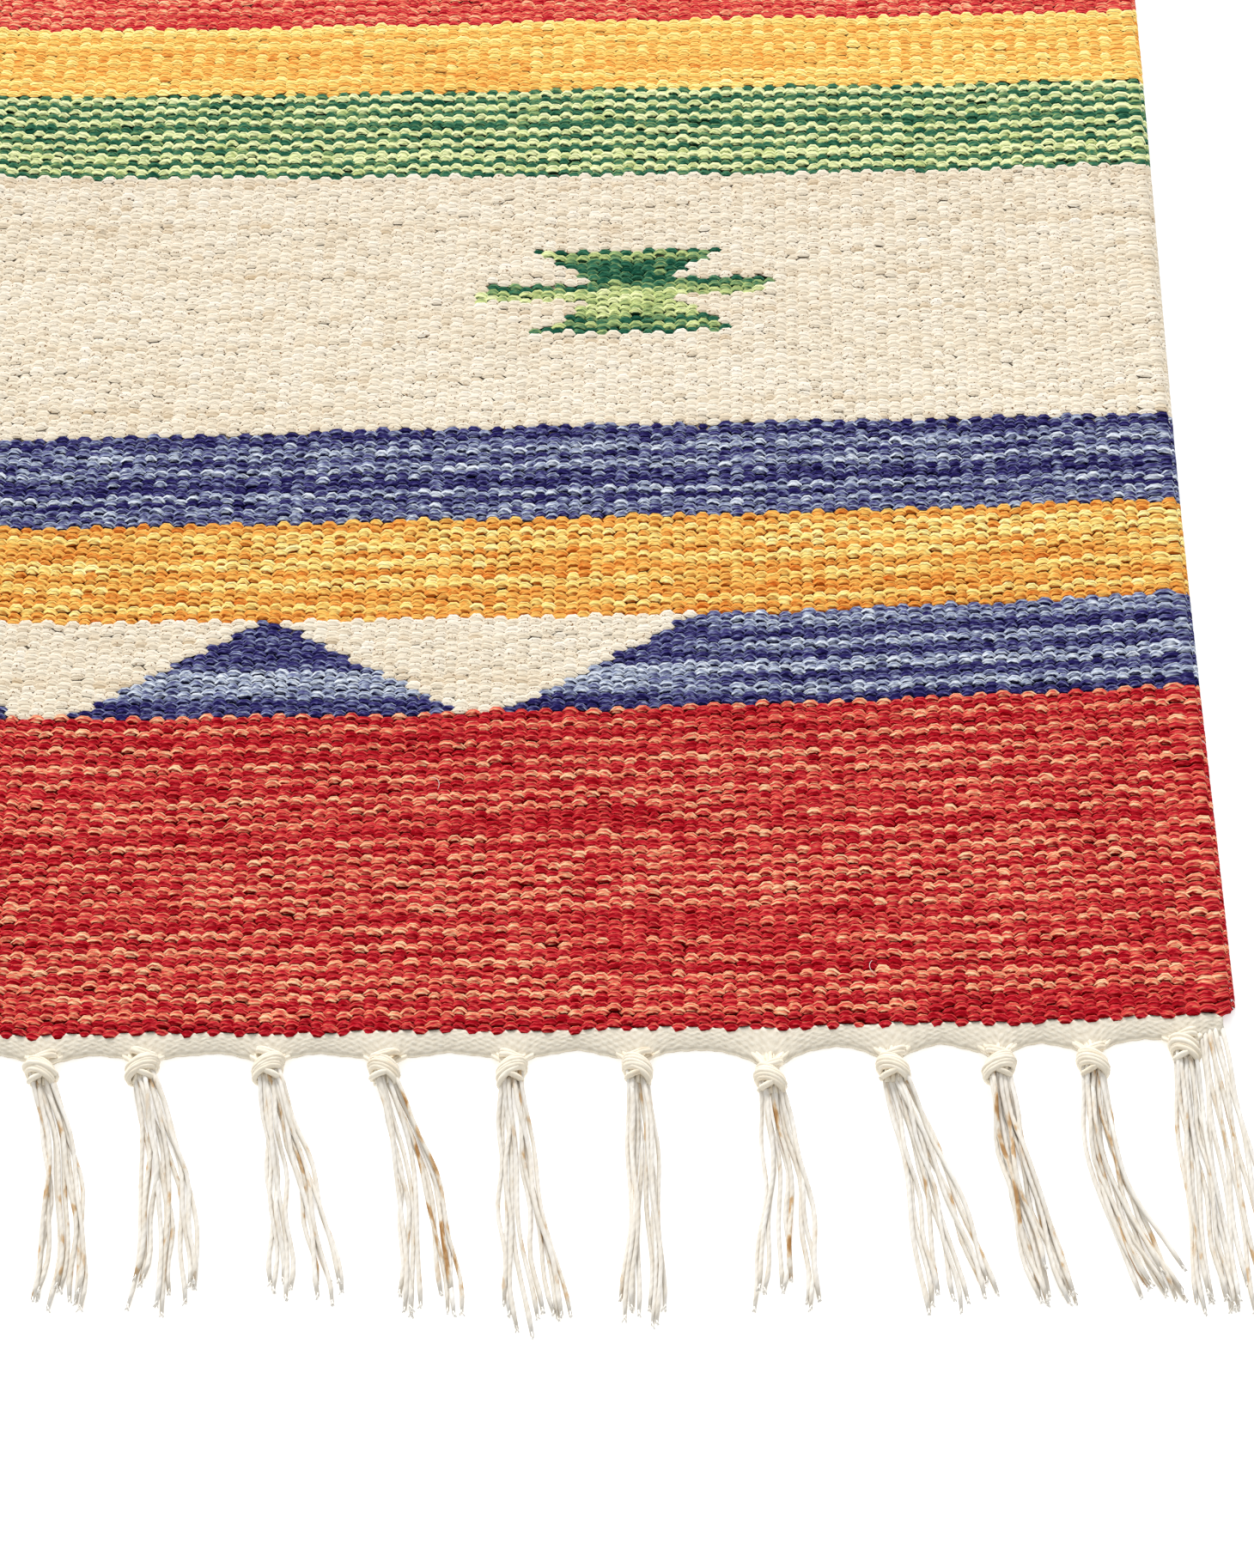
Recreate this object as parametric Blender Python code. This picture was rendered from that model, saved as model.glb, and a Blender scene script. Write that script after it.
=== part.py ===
"""Flat-woven kilim rug, 600 x 900 mm, with a plain heading and knotted warp tassels at both ends.

Sizes are in millimetres and the finished meshes are scaled to metres. The origin is the centre of the
underside: X runs across the rug, Y along its warps and Z up. The near end lies at -Y.
"""

import math
import random
from typing import NamedTuple

import bmesh
import bpy
from mathutils import Matrix, Vector

METRES = 0.001
GAP = 0.3

# Cloth
WIDTH = 600.0
LENGTH = 900.0
CLOTH_HEIGHT = 3.9
HALF_WIDTH = WIDTH / 2
HALF_LENGTH = LENGTH / 2
INNER_COLUMNS = 11
CORNER_START = 296.0
CORNER_PULL = 3.0
CORNER_LENGTH = 20.0
EDGE_SWAY = 0.7
EDGE_SWAY_LENGTH = 420.0
SWELL_HEIGHT = 0.22
SWELL_ACROSS = 46.0
SWELL_ALONG = 58.0
SWELL_FADE = 20.0

# Heading: the narrow cream weave between the cloth and the tassels
HEADING_HEIGHT_AT_CLOTH = 2.9
HEADING_HEIGHT_AT_RIM = 2.2
HEADING_ARCH = 5.6
HEADING_FLANK = 8.2
HEADING_END_INSET = 1.5
NOTCH_HALF_WIDTH = 4.4
FLANK_HALF_WIDTH = 5.9

# Knots
KNOT_HALF_WIDTH = 4.7
KNOT_HALF_LENGTH = 4.7
KNOT_HALF_HEIGHT = 3.9
KNOT_CENTRE_HEIGHT = 3.4
KNOT_SLANT = 0.3
KNOT_RINGS = 5
KNOT_SIDES = 8

# Strands
STRANDS_PER_TASSEL = 6
STRANDS_PER_CORNER = 3
STRAND_WIDTH = 1.5
STRAND_HEIGHT = 1.3
STRAND_SECTIONS = (0.0, 0.16, 0.4, 0.7, 1.0)
ROOT_SPACING = 1.05
ROOT_DEPTH = 1.6
ROOT_LIFT = 0.45
UPPER_LIFT = 2.3
UPPER_REST_SECTION = 0.7
CORNER_STRAND_REACH = 81.0
CORNER_STRAND_SPACING = 2.0
CORNER_STRAND_DRIFT = 3.4
CORNER_STRAND_INSET = 3.6
CORNER_STRAND_ROOTING = 2.5
TIP_UNEVENNESS = 3.0

# How far each line of weft bows: the selvedges lie this much further along +Y than the middle
BOW_POWER = 1.8
BOW_MEAN = 1 / (BOW_POWER + 1)


class Bow(NamedTuple):
    """Depth of the weft's bow at one place along the rug."""

    along: float
    depth: float


BOWS = (
    Bow(-450.0, 10.2),
    Bow(-346.0, 16.0),
    Bow(-245.0, 14.5),
    Bow(-141.0, 12.0),
    Bow(-73.0, 14.0),
    Bow(450.0, 3.5),
)


class Selvedge(NamedTuple):
    """Height of the cloth at one distance in from its side: two stout cords, then the plain weave."""

    inset: float
    height: float


SELVEDGE = (
    Selvedge(0.0, 1.5),
    Selvedge(1.0, 3.6),
    Selvedge(2.5, 4.3),
    Selvedge(4.4, 3.5),
    Selvedge(6.4, 4.2),
    Selvedge(8.6, 3.6),
    Selvedge(14.0, CLOTH_HEIGHT),
)


class Rim(NamedTuple):
    """Height of the cloth at one distance in from its woven end."""

    inset: float
    height: float


RIM = (Rim(0.0, 2.2), Rim(1.6, 3.6), Rim(5.0, CLOTH_HEIGHT))


class Band(NamedTuple):
    """One colour band, from the near end to the middle; rows is how many strips of faces it has."""

    yarn: str
    length: float
    rows: int


HALF_BANDS = (
    Band("red", 103.5, 3),
    Band("blue", 32.8, 1),
    Band("yellow", 35.1, 1),
    Band("blue", 33.7, 1),
    Band("cream", 103.8, 3),
    Band("green", 37.2, 1),
    Band("yellow", 30.4, 1),
)
MIDDLE_BAND = Band("red", 147.0, 4)

YARN_COLOURS = {
    "red": (0.53, 0.08, 0.06),
    "blue": (0.07, 0.07, 0.20),
    "yellow": (0.76, 0.44, 0.14),
    "cream": (0.85, 0.77, 0.63),
    "green": (0.18, 0.33, 0.16),
}
FRINGE_COLOUR = (0.82, 0.75, 0.62)


class Tassel(NamedTuple):
    """One knotted tassel: across is its knot's place; drop and reach are beyond the cloth's end."""

    across: float
    drop: float
    lean: float
    spread: float
    reach: float
    bend: float


TASSELS = (
    Tassel(-290.0, 11.0, 3.0, 9.5, 79.0, 2.0),
    Tassel(-263.0, 13.0, 9.0, 10.5, 77.0, -3.0),
    Tassel(-235.5, 12.0, 8.0, 14.0, 80.0, 1.5),
    Tassel(-208.5, 12.5, 3.0, 12.0, 76.0, 2.0),
    Tassel(-181.5, 11.0, 4.0, 15.0, 78.0, -1.5),
    Tassel(-154.0, 10.5, 10.0, 9.5, 81.0, 3.0),
    Tassel(-126.5, 11.5, 11.0, 13.5, 75.0, 1.5),
    Tassel(-99.0, 10.0, 7.0, 16.0, 78.0, 0.0),
    Tassel(-72.0, 11.0, 5.0, 10.5, 80.0, -2.5),
    Tassel(-44.5, 10.0, 12.0, 14.0, 76.0, 3.0),
    Tassel(-17.0, 10.5, 9.0, 12.5, 77.0, 2.0),
    Tassel(11.0, 11.0, 10.0, 11.4, 75.5, 3.5),
    Tassel(35.5, 9.8, 10.0, 15.0, 74.0, 3.0),
    Tassel(66.0, 9.8, 13.0, 17.5, 73.0, 1.0),
    Tassel(94.0, 10.5, 14.0, 15.6, 77.0, 3.0),
    Tassel(125.0, 11.3, 8.0, 14.0, 82.0, -1.0),
    Tassel(155.4, 11.5, 2.0, 9.5, 80.0, 1.0),
    Tassel(187.5, 15.5, 3.0, 15.0, 77.0, 2.0),
    Tassel(217.3, 13.0, 14.0, 15.5, 79.0, 1.0),
    Tassel(243.0, 13.5, 11.0, 9.5, 80.0, -1.5),
    Tassel(265.8, 13.6, 13.0, 9.5, 78.0, -4.0),
    Tassel(288.3, 10.3, 3.0, 9.5, 82.0, -0.5),
)


def between(value, places, levels):
    """Level at value, read along straight lines through the levels at these rising places."""
    if value <= places[0]:
        return levels[0]
    for (place, level), (next_place, next_level) in zip(
        zip(places, levels), zip(places[1:], levels[1:])
    ):
        if value <= next_place:
            share = (value - place) / (next_place - place)
            return level + (next_level - level) * share
    return levels[-1]


def bowed(across, along):
    """Where a line of weft at this nominal place along the rug really lies."""
    depth = between(along, [b.along for b in BOWS], [b.depth for b in BOWS])
    share = min(abs(across) / HALF_WIDTH, 1.0)
    return along + depth * (share**BOW_POWER - BOW_MEAN)


def side_edge(along, side):
    """Distance of the selvedge from the middle line; side is -1 or 1."""
    turn = 2 * math.pi * along / EDGE_SWAY_LENGTH
    return HALF_WIDTH + EDGE_SWAY * (1 + math.sin(turn + 2.6 * side))


def corner_pull(across):
    """How far the cloth's rounded corner draws back from the line of its end."""
    past_corner = max(0.0, (abs(across) - CORNER_START) / (HALF_WIDTH - CORNER_START))
    return CORNER_PULL * past_corner**2


def cloth_top(inset_side, inset_end, across, along):
    """Height of the cloth's upper face."""
    at_side = between(inset_side, [s.inset for s in SELVEDGE], [s.height for s in SELVEDGE])
    at_end = between(inset_end, [r.inset for r in RIM], [r.height for r in RIM])
    swell = SWELL_HEIGHT * math.sin(across / SWELL_ACROSS + 0.8) * math.sin(along / SWELL_ALONG + 0.3)
    calm = min(inset_side / SWELL_FADE, inset_end / SWELL_FADE, 1.0)
    return min(at_side, at_end) + swell * calm


def yarn_material(name, colour):
    """Plain matt cotton of this colour."""
    material = bpy.data.materials.new(name)
    material.use_nodes = True
    shader = material.node_tree.nodes["Principled BSDF"]
    shader.inputs["Base Color"].default_value = (*colour, 1.0)
    shader.inputs["Roughness"].default_value = 0.9
    shader.inputs["Metallic"].default_value = 0.0
    return material


def new_object(name, shape, collection, materials):
    """Turns a bmesh in millimetres into an object in metres, and frees the bmesh."""
    bmesh.ops.scale(shape, vec=(METRES, METRES, METRES), verts=shape.verts)
    bmesh.ops.recalc_face_normals(shape, faces=shape.faces)
    mesh = bpy.data.meshes.new(name)
    shape.to_mesh(mesh)
    shape.free()
    for material in materials:
        mesh.materials.append(material)
    made = bpy.data.objects.new(name, mesh)
    collection.objects.link(made)
    return made


def slab(columns, rows, place, top):
    """Closed slab with a flat underside: a grid laid out by place(column, row), raised by top."""
    shape = bmesh.new()
    bmesh.ops.create_grid(shape, x_segments=len(columns) - 1, y_segments=len(rows) - 1, size=0.5)
    spots = {}
    for vertex in shape.verts:
        column = columns[round((vertex.co.x + 0.5) * (len(columns) - 1))]
        row = rows[round((vertex.co.y + 0.5) * (len(rows) - 1))]
        vertex.co = Vector((*place(column, row), 0.0))
        spots[vertex.co.to_tuple(4)] = (column, row)
    raised = bmesh.ops.extrude_face_region(shape, geom=shape.faces[:])
    for vertex in raised["geom"]:
        if isinstance(vertex, bmesh.types.BMVert):
            column, row = spots[vertex.co.to_tuple(4)]
            vertex.co.z = top(column, row)
    return shape


def cloth_columns():
    """(side, inset) of each column of points, from the left selvedge to the right one."""
    step = (WIDTH - 2 * SELVEDGE[-1].inset) / (INNER_COLUMNS + 1)
    left = [(-1, s.inset) for s in SELVEDGE]
    left += [(-1, SELVEDGE[-1].inset + step * i) for i in range(1, INNER_COLUMNS // 2 + 1)]
    return left + [(1, HALF_WIDTH)] + [(1, inset) for _, inset in reversed(left)]


def cloth_rows():
    """(nominal place along the rug, yarn of the strip that starts there) for each row of points."""
    rows = []
    at = -HALF_LENGTH
    for band in (*HALF_BANDS, MIDDLE_BAND, *reversed(HALF_BANDS)):
        rows += [(at + band.length * row / band.rows, band.yarn) for row in range(band.rows)]
        at += band.length
    end_yarn = HALF_BANDS[0].yarn
    for rim in RIM[1:]:
        rows += [(-HALF_LENGTH + rim.inset, end_yarn), (HALF_LENGTH - rim.inset, end_yarn)]
    return sorted(rows) + [(HALF_LENGTH, end_yarn)]


def make_cloth(collection):
    """The woven cloth, with its bowed ends, corded selvedges and coloured bands."""
    rows = cloth_rows()
    yarns = list(YARN_COLOURS)

    def place(column, row):
        side, inset = column
        nominal = row[0]
        across = side * (side_edge(nominal, side) - inset)
        near_end = max(0.0, 1 - (HALF_LENGTH - abs(nominal)) / CORNER_LENGTH)
        pull = math.copysign(corner_pull(across), nominal) * near_end
        return across, bowed(across, nominal) - pull

    def top(column, row):
        across, along = place(column, row)
        return cloth_top(column[1], HALF_LENGTH - abs(row[0]), across, along)

    shape = slab(cloth_columns(), rows, place, top)
    for face in shape.faces:
        middle = face.calc_center_median()
        nominal = 2 * middle.y - bowed(middle.x, middle.y)
        started = [yarn for start, yarn in rows if start <= nominal]
        face.material_index = yarns.index(started[-1] if started else rows[0][1])
    materials = [yarn_material(f"{yarn}_cotton", YARN_COLOURS[yarn]) for yarn in yarns]
    return new_object("kilim_cloth", shape, collection, materials)


def turned(end):
    """The near end's layout, as it is or turned half round for the far end."""
    return Matrix.Identity(4) if end < 0 else Matrix.Rotation(math.pi, 4, "Z")


def end_beyond(across, end, beyond):
    """Place along the rug this far beyond the cloth's end, in the near end's layout."""
    if end < 0:
        return bowed(across, -HALF_LENGTH) - beyond
    return -bowed(-across, HALF_LENGTH) - beyond


def heading_rim(tassels):
    """(across, depth) of the heading's free edge: arches between the knots, and a notch at each."""
    outer = HALF_WIDTH - HEADING_END_INSET
    rim = [(-outer, HEADING_ARCH), (outer, HEADING_ARCH)]
    for left, tassel in zip((None, *tassels), tassels):
        if left:
            rim.append(((left.across + tassel.across) / 2, HEADING_ARCH))
        notch = tassel.drop - KNOT_HALF_LENGTH - GAP
        flank = max(HEADING_FLANK, notch + 0.8)
        rim.append((tassel.across - FLANK_HALF_WIDTH, flank))
        rim.append((tassel.across - NOTCH_HALF_WIDTH, notch))
        rim.append((tassel.across + NOTCH_HALF_WIDTH, notch))
        rim.append((tassel.across + FLANK_HALF_WIDTH, flank))
    return sorted(rim)


def make_strand(shape, path, lifts):
    """Adds one three-sided strand to shape; path and lifts give its line at each section."""
    count = len(path)
    first = len(shape.verts)
    made = bmesh.ops.create_cone(
        shape, cap_ends=True, segments=3, radius1=0.5, radius2=0.5, depth=1.0
    )["verts"]
    edges = {edge for vertex in made for edge in vertex.link_edges}
    long_edges = [e for e in edges if abs(e.verts[0].co.z - e.verts[1].co.z) > 0.5]
    bmesh.ops.subdivide_edges(shape, edges=long_edges, cuts=count - 2)
    shape.verts.ensure_lookup_table()
    for vertex in shape.verts[first:]:
        section = round((0.5 - vertex.co.z) * (count - 1))
        on_top = abs(vertex.co.x) < 0.1
        side = 0.0 if on_top else math.copysign(STRAND_WIDTH / 2, vertex.co.x)
        x, y = path[section]
        vertex.co = Vector((x + side, y, lifts[section] + (STRAND_HEIGHT if on_top else 0.0)))


def tassel_strands(tassel, end, chance):
    """bmesh of a tassel's strands, which lie side by side on the floor from their knot to their tips."""
    shape = bmesh.new()
    top = end_beyond(tassel.across, end, tassel.drop + ROOT_DEPTH)
    tip_spacing = tassel.spread / (STRANDS_PER_TASSEL - 1)
    for number in range(STRANDS_PER_TASSEL):
        place = number - (STRANDS_PER_TASSEL - 1) / 2
        tip = end_beyond(tassel.across, end, tassel.reach + chance.uniform(-1, 1) * TIP_UNEVENNESS)
        upper = number % 2 == 1
        path, lifts = [], []
        for share in STRAND_SECTIONS:
            spacing = ROOT_SPACING + (tip_spacing - ROOT_SPACING) * (1 - (1 - share) ** 2)
            sway = tassel.lean * share + tassel.bend * math.sin(math.pi * share)
            path.append((tassel.across + place * spacing + sway, top + (tip - top) * share))
            root_lift = UPPER_LIFT if upper else ROOT_LIFT
            resting = share >= (UPPER_REST_SECTION if upper else STRAND_SECTIONS[1])
            lifts.append(0.0 if resting else root_lift)
        make_strand(shape, path, lifts)
    return shape


def corner_strands(end, side, chance):
    """bmesh of the loose strands beside a selvedge, which have no knot."""
    shape = bmesh.new()
    for number in range(STRANDS_PER_CORNER):
        from_middle = number - (STRANDS_PER_CORNER - 1) / 2
        across = side * (HALF_WIDTH - CORNER_STRAND_INSET + from_middle * CORNER_STRAND_SPACING)
        root = end_beyond(across, end, HEADING_ARCH - CORNER_STRAND_ROOTING)
        tip = end_beyond(across, end, CORNER_STRAND_REACH + chance.uniform(-1, 1) * TIP_UNEVENNESS)
        drift = side * (CORNER_STRAND_DRIFT + number)
        path = [(across + drift * s, root + (tip - root) * s) for s in STRAND_SECTIONS]
        lifts = [ROOT_LIFT] + [0.0] * (len(STRAND_SECTIONS) - 1)
        make_strand(shape, path, lifts)
    return shape


def fuse(body, strands):
    """Makes the strands one solid with the knot or heading that holds them."""
    union = body.modifiers.new("rooted strands", "BOOLEAN")
    union.operation = "UNION"
    union.solver = "EXACT"
    union.object = strands


def make_knot(name, tassel, end, collection, material, chance):
    """A tassel's overhand knot, pressed flat where it rests."""
    shape = bmesh.new()
    bmesh.ops.create_uvsphere(shape, u_segments=KNOT_SIDES, v_segments=KNOT_RINGS, radius=1.0)
    bmesh.ops.scale(shape, vec=(KNOT_HALF_WIDTH, KNOT_HALF_LENGTH, KNOT_HALF_HEIGHT), verts=shape.verts)
    slant = chance.uniform(-KNOT_SLANT, KNOT_SLANT)
    for vertex in shape.verts:
        vertex.co.y += slant * vertex.co.x * (1 - abs(vertex.co.y) / KNOT_HALF_LENGTH)
    middle = Vector((tassel.across, end_beyond(tassel.across, end, tassel.drop), KNOT_CENTRE_HEIGHT))
    bmesh.ops.translate(shape, vec=middle, verts=shape.verts)
    cut = bmesh.ops.bisect_plane(
        shape,
        geom=shape.verts[:] + shape.edges[:] + shape.faces[:],
        plane_co=(0, 0, 0),
        plane_no=(0, 0, 1),
        clear_inner=True,
    )
    rim = [e for e in cut["geom_cut"] if isinstance(e, bmesh.types.BMEdge)]
    bmesh.ops.contextual_create(shape, geom=rim)
    bmesh.ops.transform(shape, matrix=turned(end), verts=shape.verts)
    return new_object(name, shape, collection, [material])


def make_heading(name, end, collection, material):
    """The narrow strip of cream weave that the tassels hang from."""
    rim = heading_rim(TASSELS)

    def place(column, row):
        across, depth = column
        return across, end_beyond(across, end, GAP + depth * row)

    def top(column, row):
        return HEADING_HEIGHT_AT_CLOTH + (HEADING_HEIGHT_AT_RIM - HEADING_HEIGHT_AT_CLOTH) * row

    shape = slab(rim, (1.0, 0.0), place, top)
    bmesh.ops.transform(shape, matrix=turned(end), verts=shape.verts)
    return new_object(name, shape, collection, [material])


def make_fringe(end_name, end, collection, cutters, material):
    """One end's heading and tassels."""
    chance = random.Random(f"{end_name} fringe")
    heading = make_heading(f"heading_{end_name}", end, collection, material)
    for side, side_name in ((-1, "left"), (1, "right")):
        strands = corner_strands(end, side, chance)
        bmesh.ops.transform(strands, matrix=turned(end), verts=strands.verts)
        fuse(heading, new_object(f"strands_{end_name}_{side_name}", strands, cutters, [material]))
    for number, tassel in enumerate(TASSELS, start=1):
        knot = make_knot(f"tassel_{end_name}_{number:02d}", tassel, end, collection, material, chance)
        strands = tassel_strands(tassel, end, chance)
        bmesh.ops.transform(strands, matrix=turned(end), verts=strands.verts)
        fuse(knot, new_object(f"strands_{end_name}_{number:02d}", strands, cutters, [material]))


def main():
    """Clears the scene and builds the rug."""
    for stray in list(bpy.data.objects):
        bpy.data.objects.remove(stray)
    collection = bpy.data.collections.new("kilim rug")
    cutters = bpy.data.collections.new("rooted strands")
    for made in (collection, cutters):
        bpy.context.scene.collection.children.link(made)
    make_cloth(collection)
    fringe_material = yarn_material("warp_cotton", FRINGE_COLOUR)
    make_fringe("near", -1, collection, cutters, fringe_material)
    make_fringe("far", 1, collection, cutters, fringe_material)
    for helper in cutters.objects:
        helper.hide_render = True
        helper.display_type = "WIRE"


main()
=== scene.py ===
"""Looks of a flat-woven cotton rug with knotted tassels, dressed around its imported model.

Lengths are in millimetres until a mesh is made, where METRES turns them into Blender's metres. X runs
across the rug, Y along it with the near end at -Y, and Z up from the floor.
"""

import logging
import math
from collections.abc import Sequence
from dataclasses import dataclass, field
from enum import Enum

import bmesh
import bpy
import numpy as np
from mathutils import Matrix, Vector


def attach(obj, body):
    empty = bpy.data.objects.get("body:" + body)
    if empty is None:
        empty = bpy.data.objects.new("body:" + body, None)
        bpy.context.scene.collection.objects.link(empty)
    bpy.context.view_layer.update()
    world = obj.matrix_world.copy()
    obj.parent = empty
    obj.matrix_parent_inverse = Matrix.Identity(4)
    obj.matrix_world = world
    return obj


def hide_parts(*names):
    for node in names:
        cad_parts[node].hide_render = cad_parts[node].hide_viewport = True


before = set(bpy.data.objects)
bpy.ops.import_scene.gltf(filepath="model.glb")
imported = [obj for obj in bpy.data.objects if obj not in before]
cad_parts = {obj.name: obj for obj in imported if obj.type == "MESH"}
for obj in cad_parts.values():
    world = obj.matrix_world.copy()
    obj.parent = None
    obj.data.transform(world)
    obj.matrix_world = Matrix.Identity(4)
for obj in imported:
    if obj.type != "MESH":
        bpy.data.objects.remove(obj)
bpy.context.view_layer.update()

METRES = 0.001
BODY = "root"
# A unit slab's top lies at 0 and its underside at -1, so points above this are its top's.
TOP_ABOVE = -0.5
# Brings the levels of soft_noise mostly between -1 and 1.
NOISE_SPREAD = 0.8
# Each straw's map starts this much further on, so that no two show the same stretch of a pattern.
STRAW_MAP_STEP = 37.0
log = logging.getLogger("kilim")


class Yarn(Enum):
    """The dyed cottons of the weft, numbered as the chart of the weave holds them."""

    RED = 0
    YELLOW = 1
    BLUE = 2
    GREEN = 3
    CREAM = 4


class End(Enum):
    """The two short ends of the rug."""

    NEAR = -1
    FAR = 1


def linear(colour: str) -> tuple[float, float, float, float]:
    """Turns an sRGB colour into the linear values that a shader takes.

    Args:
        colour: its hex value, such as "#c0ffee".

    Returns:
        Linear red, green and blue, and an alpha of 1.
    """
    parts = [int(colour[at : at + 2], 16) / 255 for at in (1, 3, 5)]
    red, green, blue = (p / 12.92 if p <= 0.04045 else ((p + 0.055) / 1.055) ** 2.4 for p in parts)
    return red, green, blue, 1.0


def add_node(
    tree: bpy.types.NodeTree,
    kind: str,
    inputs: dict[str | int, object] | None = None,
    stops: Sequence[tuple[float, str]] = (),
    **settings: object,
) -> bpy.types.Node:
    """Adds a shader node with its settings, values and links.

    Args:
        tree: the material's nodes.
        kind: Blender's name for the type of node, without the ShaderNode in front.
        inputs: for each input by name or number, a value, another node's output to link, or another
            node, whose first output is linked.
        stops: places and hex colours, for a node that has a colour ramp.
        **settings: the node's own properties.

    Returns:
        The new node.
    """
    node = tree.nodes.new(f"ShaderNode{kind}")
    for name, setting in settings.items():
        setattr(node, name, setting)
    for name, value in (inputs or {}).items():
        source = value.outputs[0] if isinstance(value, bpy.types.Node) else value
        if isinstance(source, bpy.types.NodeSocket):
            tree.links.new(source, node.inputs[name])
        else:
            node.inputs[name].default_value = source
    for number, (place, colour) in enumerate(stops):
        elements = node.color_ramp.elements
        stop = elements[number] if number < 2 else elements.new(place)
        stop.position = place
        stop.color = linear(colour)
    return node


def blank_material(name: str) -> tuple[bpy.types.Material, bpy.types.NodeTree]:
    """Starts a material.

    Args:
        name: the material's name.

    Returns:
        The material with no nodes, and its node tree.
    """
    material = bpy.data.materials.new(name)
    material.use_nodes = True
    material.node_tree.nodes.clear()
    return material, material.node_tree


def matt_surface(
    tree: bpy.types.NodeTree,
    colour: bpy.types.NodeSocket | bpy.types.Node,
    roughness: float,
    height: bpy.types.Node,
    relief: float,
    strength: float = 0.8,
) -> None:
    """Ends a material with the surface of cotton: no shine, and a fine relief.

    Args:
        tree: the material's nodes.
        colour: what gives the surface its colour.
        roughness: the shader's roughness.
        height: what gives the relief, with a height of 1 at its crests.
        relief: how high 1 is, in millimetres.
        strength: share of the relief that the light follows.
    """
    bump = add_node(tree, "Bump", {"Height": height, "Distance": relief * METRES, "Strength": strength})
    shader = add_node(
        tree, "BsdfPrincipled",
        {"Base Color": colour, "Roughness": roughness, "Specular IOR Level": 0.0, "Normal": bump},
    )
    add_node(tree, "OutputMaterial", {"Surface": shader})


def woven_waves(
    tree: bpy.types.NodeTree, cloth: bpy.types.Node, warp_pitch: float, pick_pitch: float
) -> bpy.types.Node:
    """Adds waves that rise at every second crossing of a weave and fall at the others.

    Args:
        tree: the material's nodes.
        cloth: the map in millimetres, across and along the cloth.
        warp_pitch: millimetres from one warp to the next.
        pick_pitch: millimetres from one pick to the next.

    Returns:
        The node that gives the waves, from -1 to 1.
    """
    waves = (math.pi / warp_pitch, math.pi / pick_pitch, 0.0)
    phase = add_node(tree, "VectorMath", {0: cloth, 1: waves}, operation="MULTIPLY")
    wave = add_node(tree, "VectorMath", {0: phase}, operation="SINE")
    parts = add_node(tree, "SeparateXYZ", {0: wave}).outputs
    return add_node(tree, "Math", {0: parts[0], 1: parts[1]}, operation="MULTIPLY")


def smooth_step(share: np.ndarray) -> np.ndarray:
    """Eases 0 to 1 in and out."""
    held = np.clip(share, 0.0, 1.0)
    return held * held * (3 - 2 * held)


def soft_noise(
    chance: np.random.Generator, shape: tuple[int, int], row_step: float, column_step: float
) -> np.ndarray:
    """Random levels that change smoothly over a table.

    Args:
        chance: the seeded source of the levels.
        shape: rows and columns of the table.
        row_step: rows from one random level to the next.
        column_step: columns from one random level to the next.

    Returns:
        A table of levels, mostly between -1 and 1.
    """
    rows, columns = shape
    coarse = chance.standard_normal((int(rows / row_step) + 3, int(columns / column_step) + 3))
    at_row = np.arange(rows) / row_step + chance.uniform()
    at_column = np.arange(columns) / column_step + chance.uniform()
    row = at_row.astype(int)
    column = at_column.astype(int)
    down = smooth_step(at_row - row)[:, None]
    right = smooth_step(at_column - column)[None, :]
    upper = coarse[row][:, column] * (1 - right) + coarse[row][:, column + 1] * right
    lower = coarse[row + 1][:, column] * (1 - right) + coarse[row + 1][:, column + 1] * right
    return (upper * (1 - down) + lower * down) * NOISE_SPREAD


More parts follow.
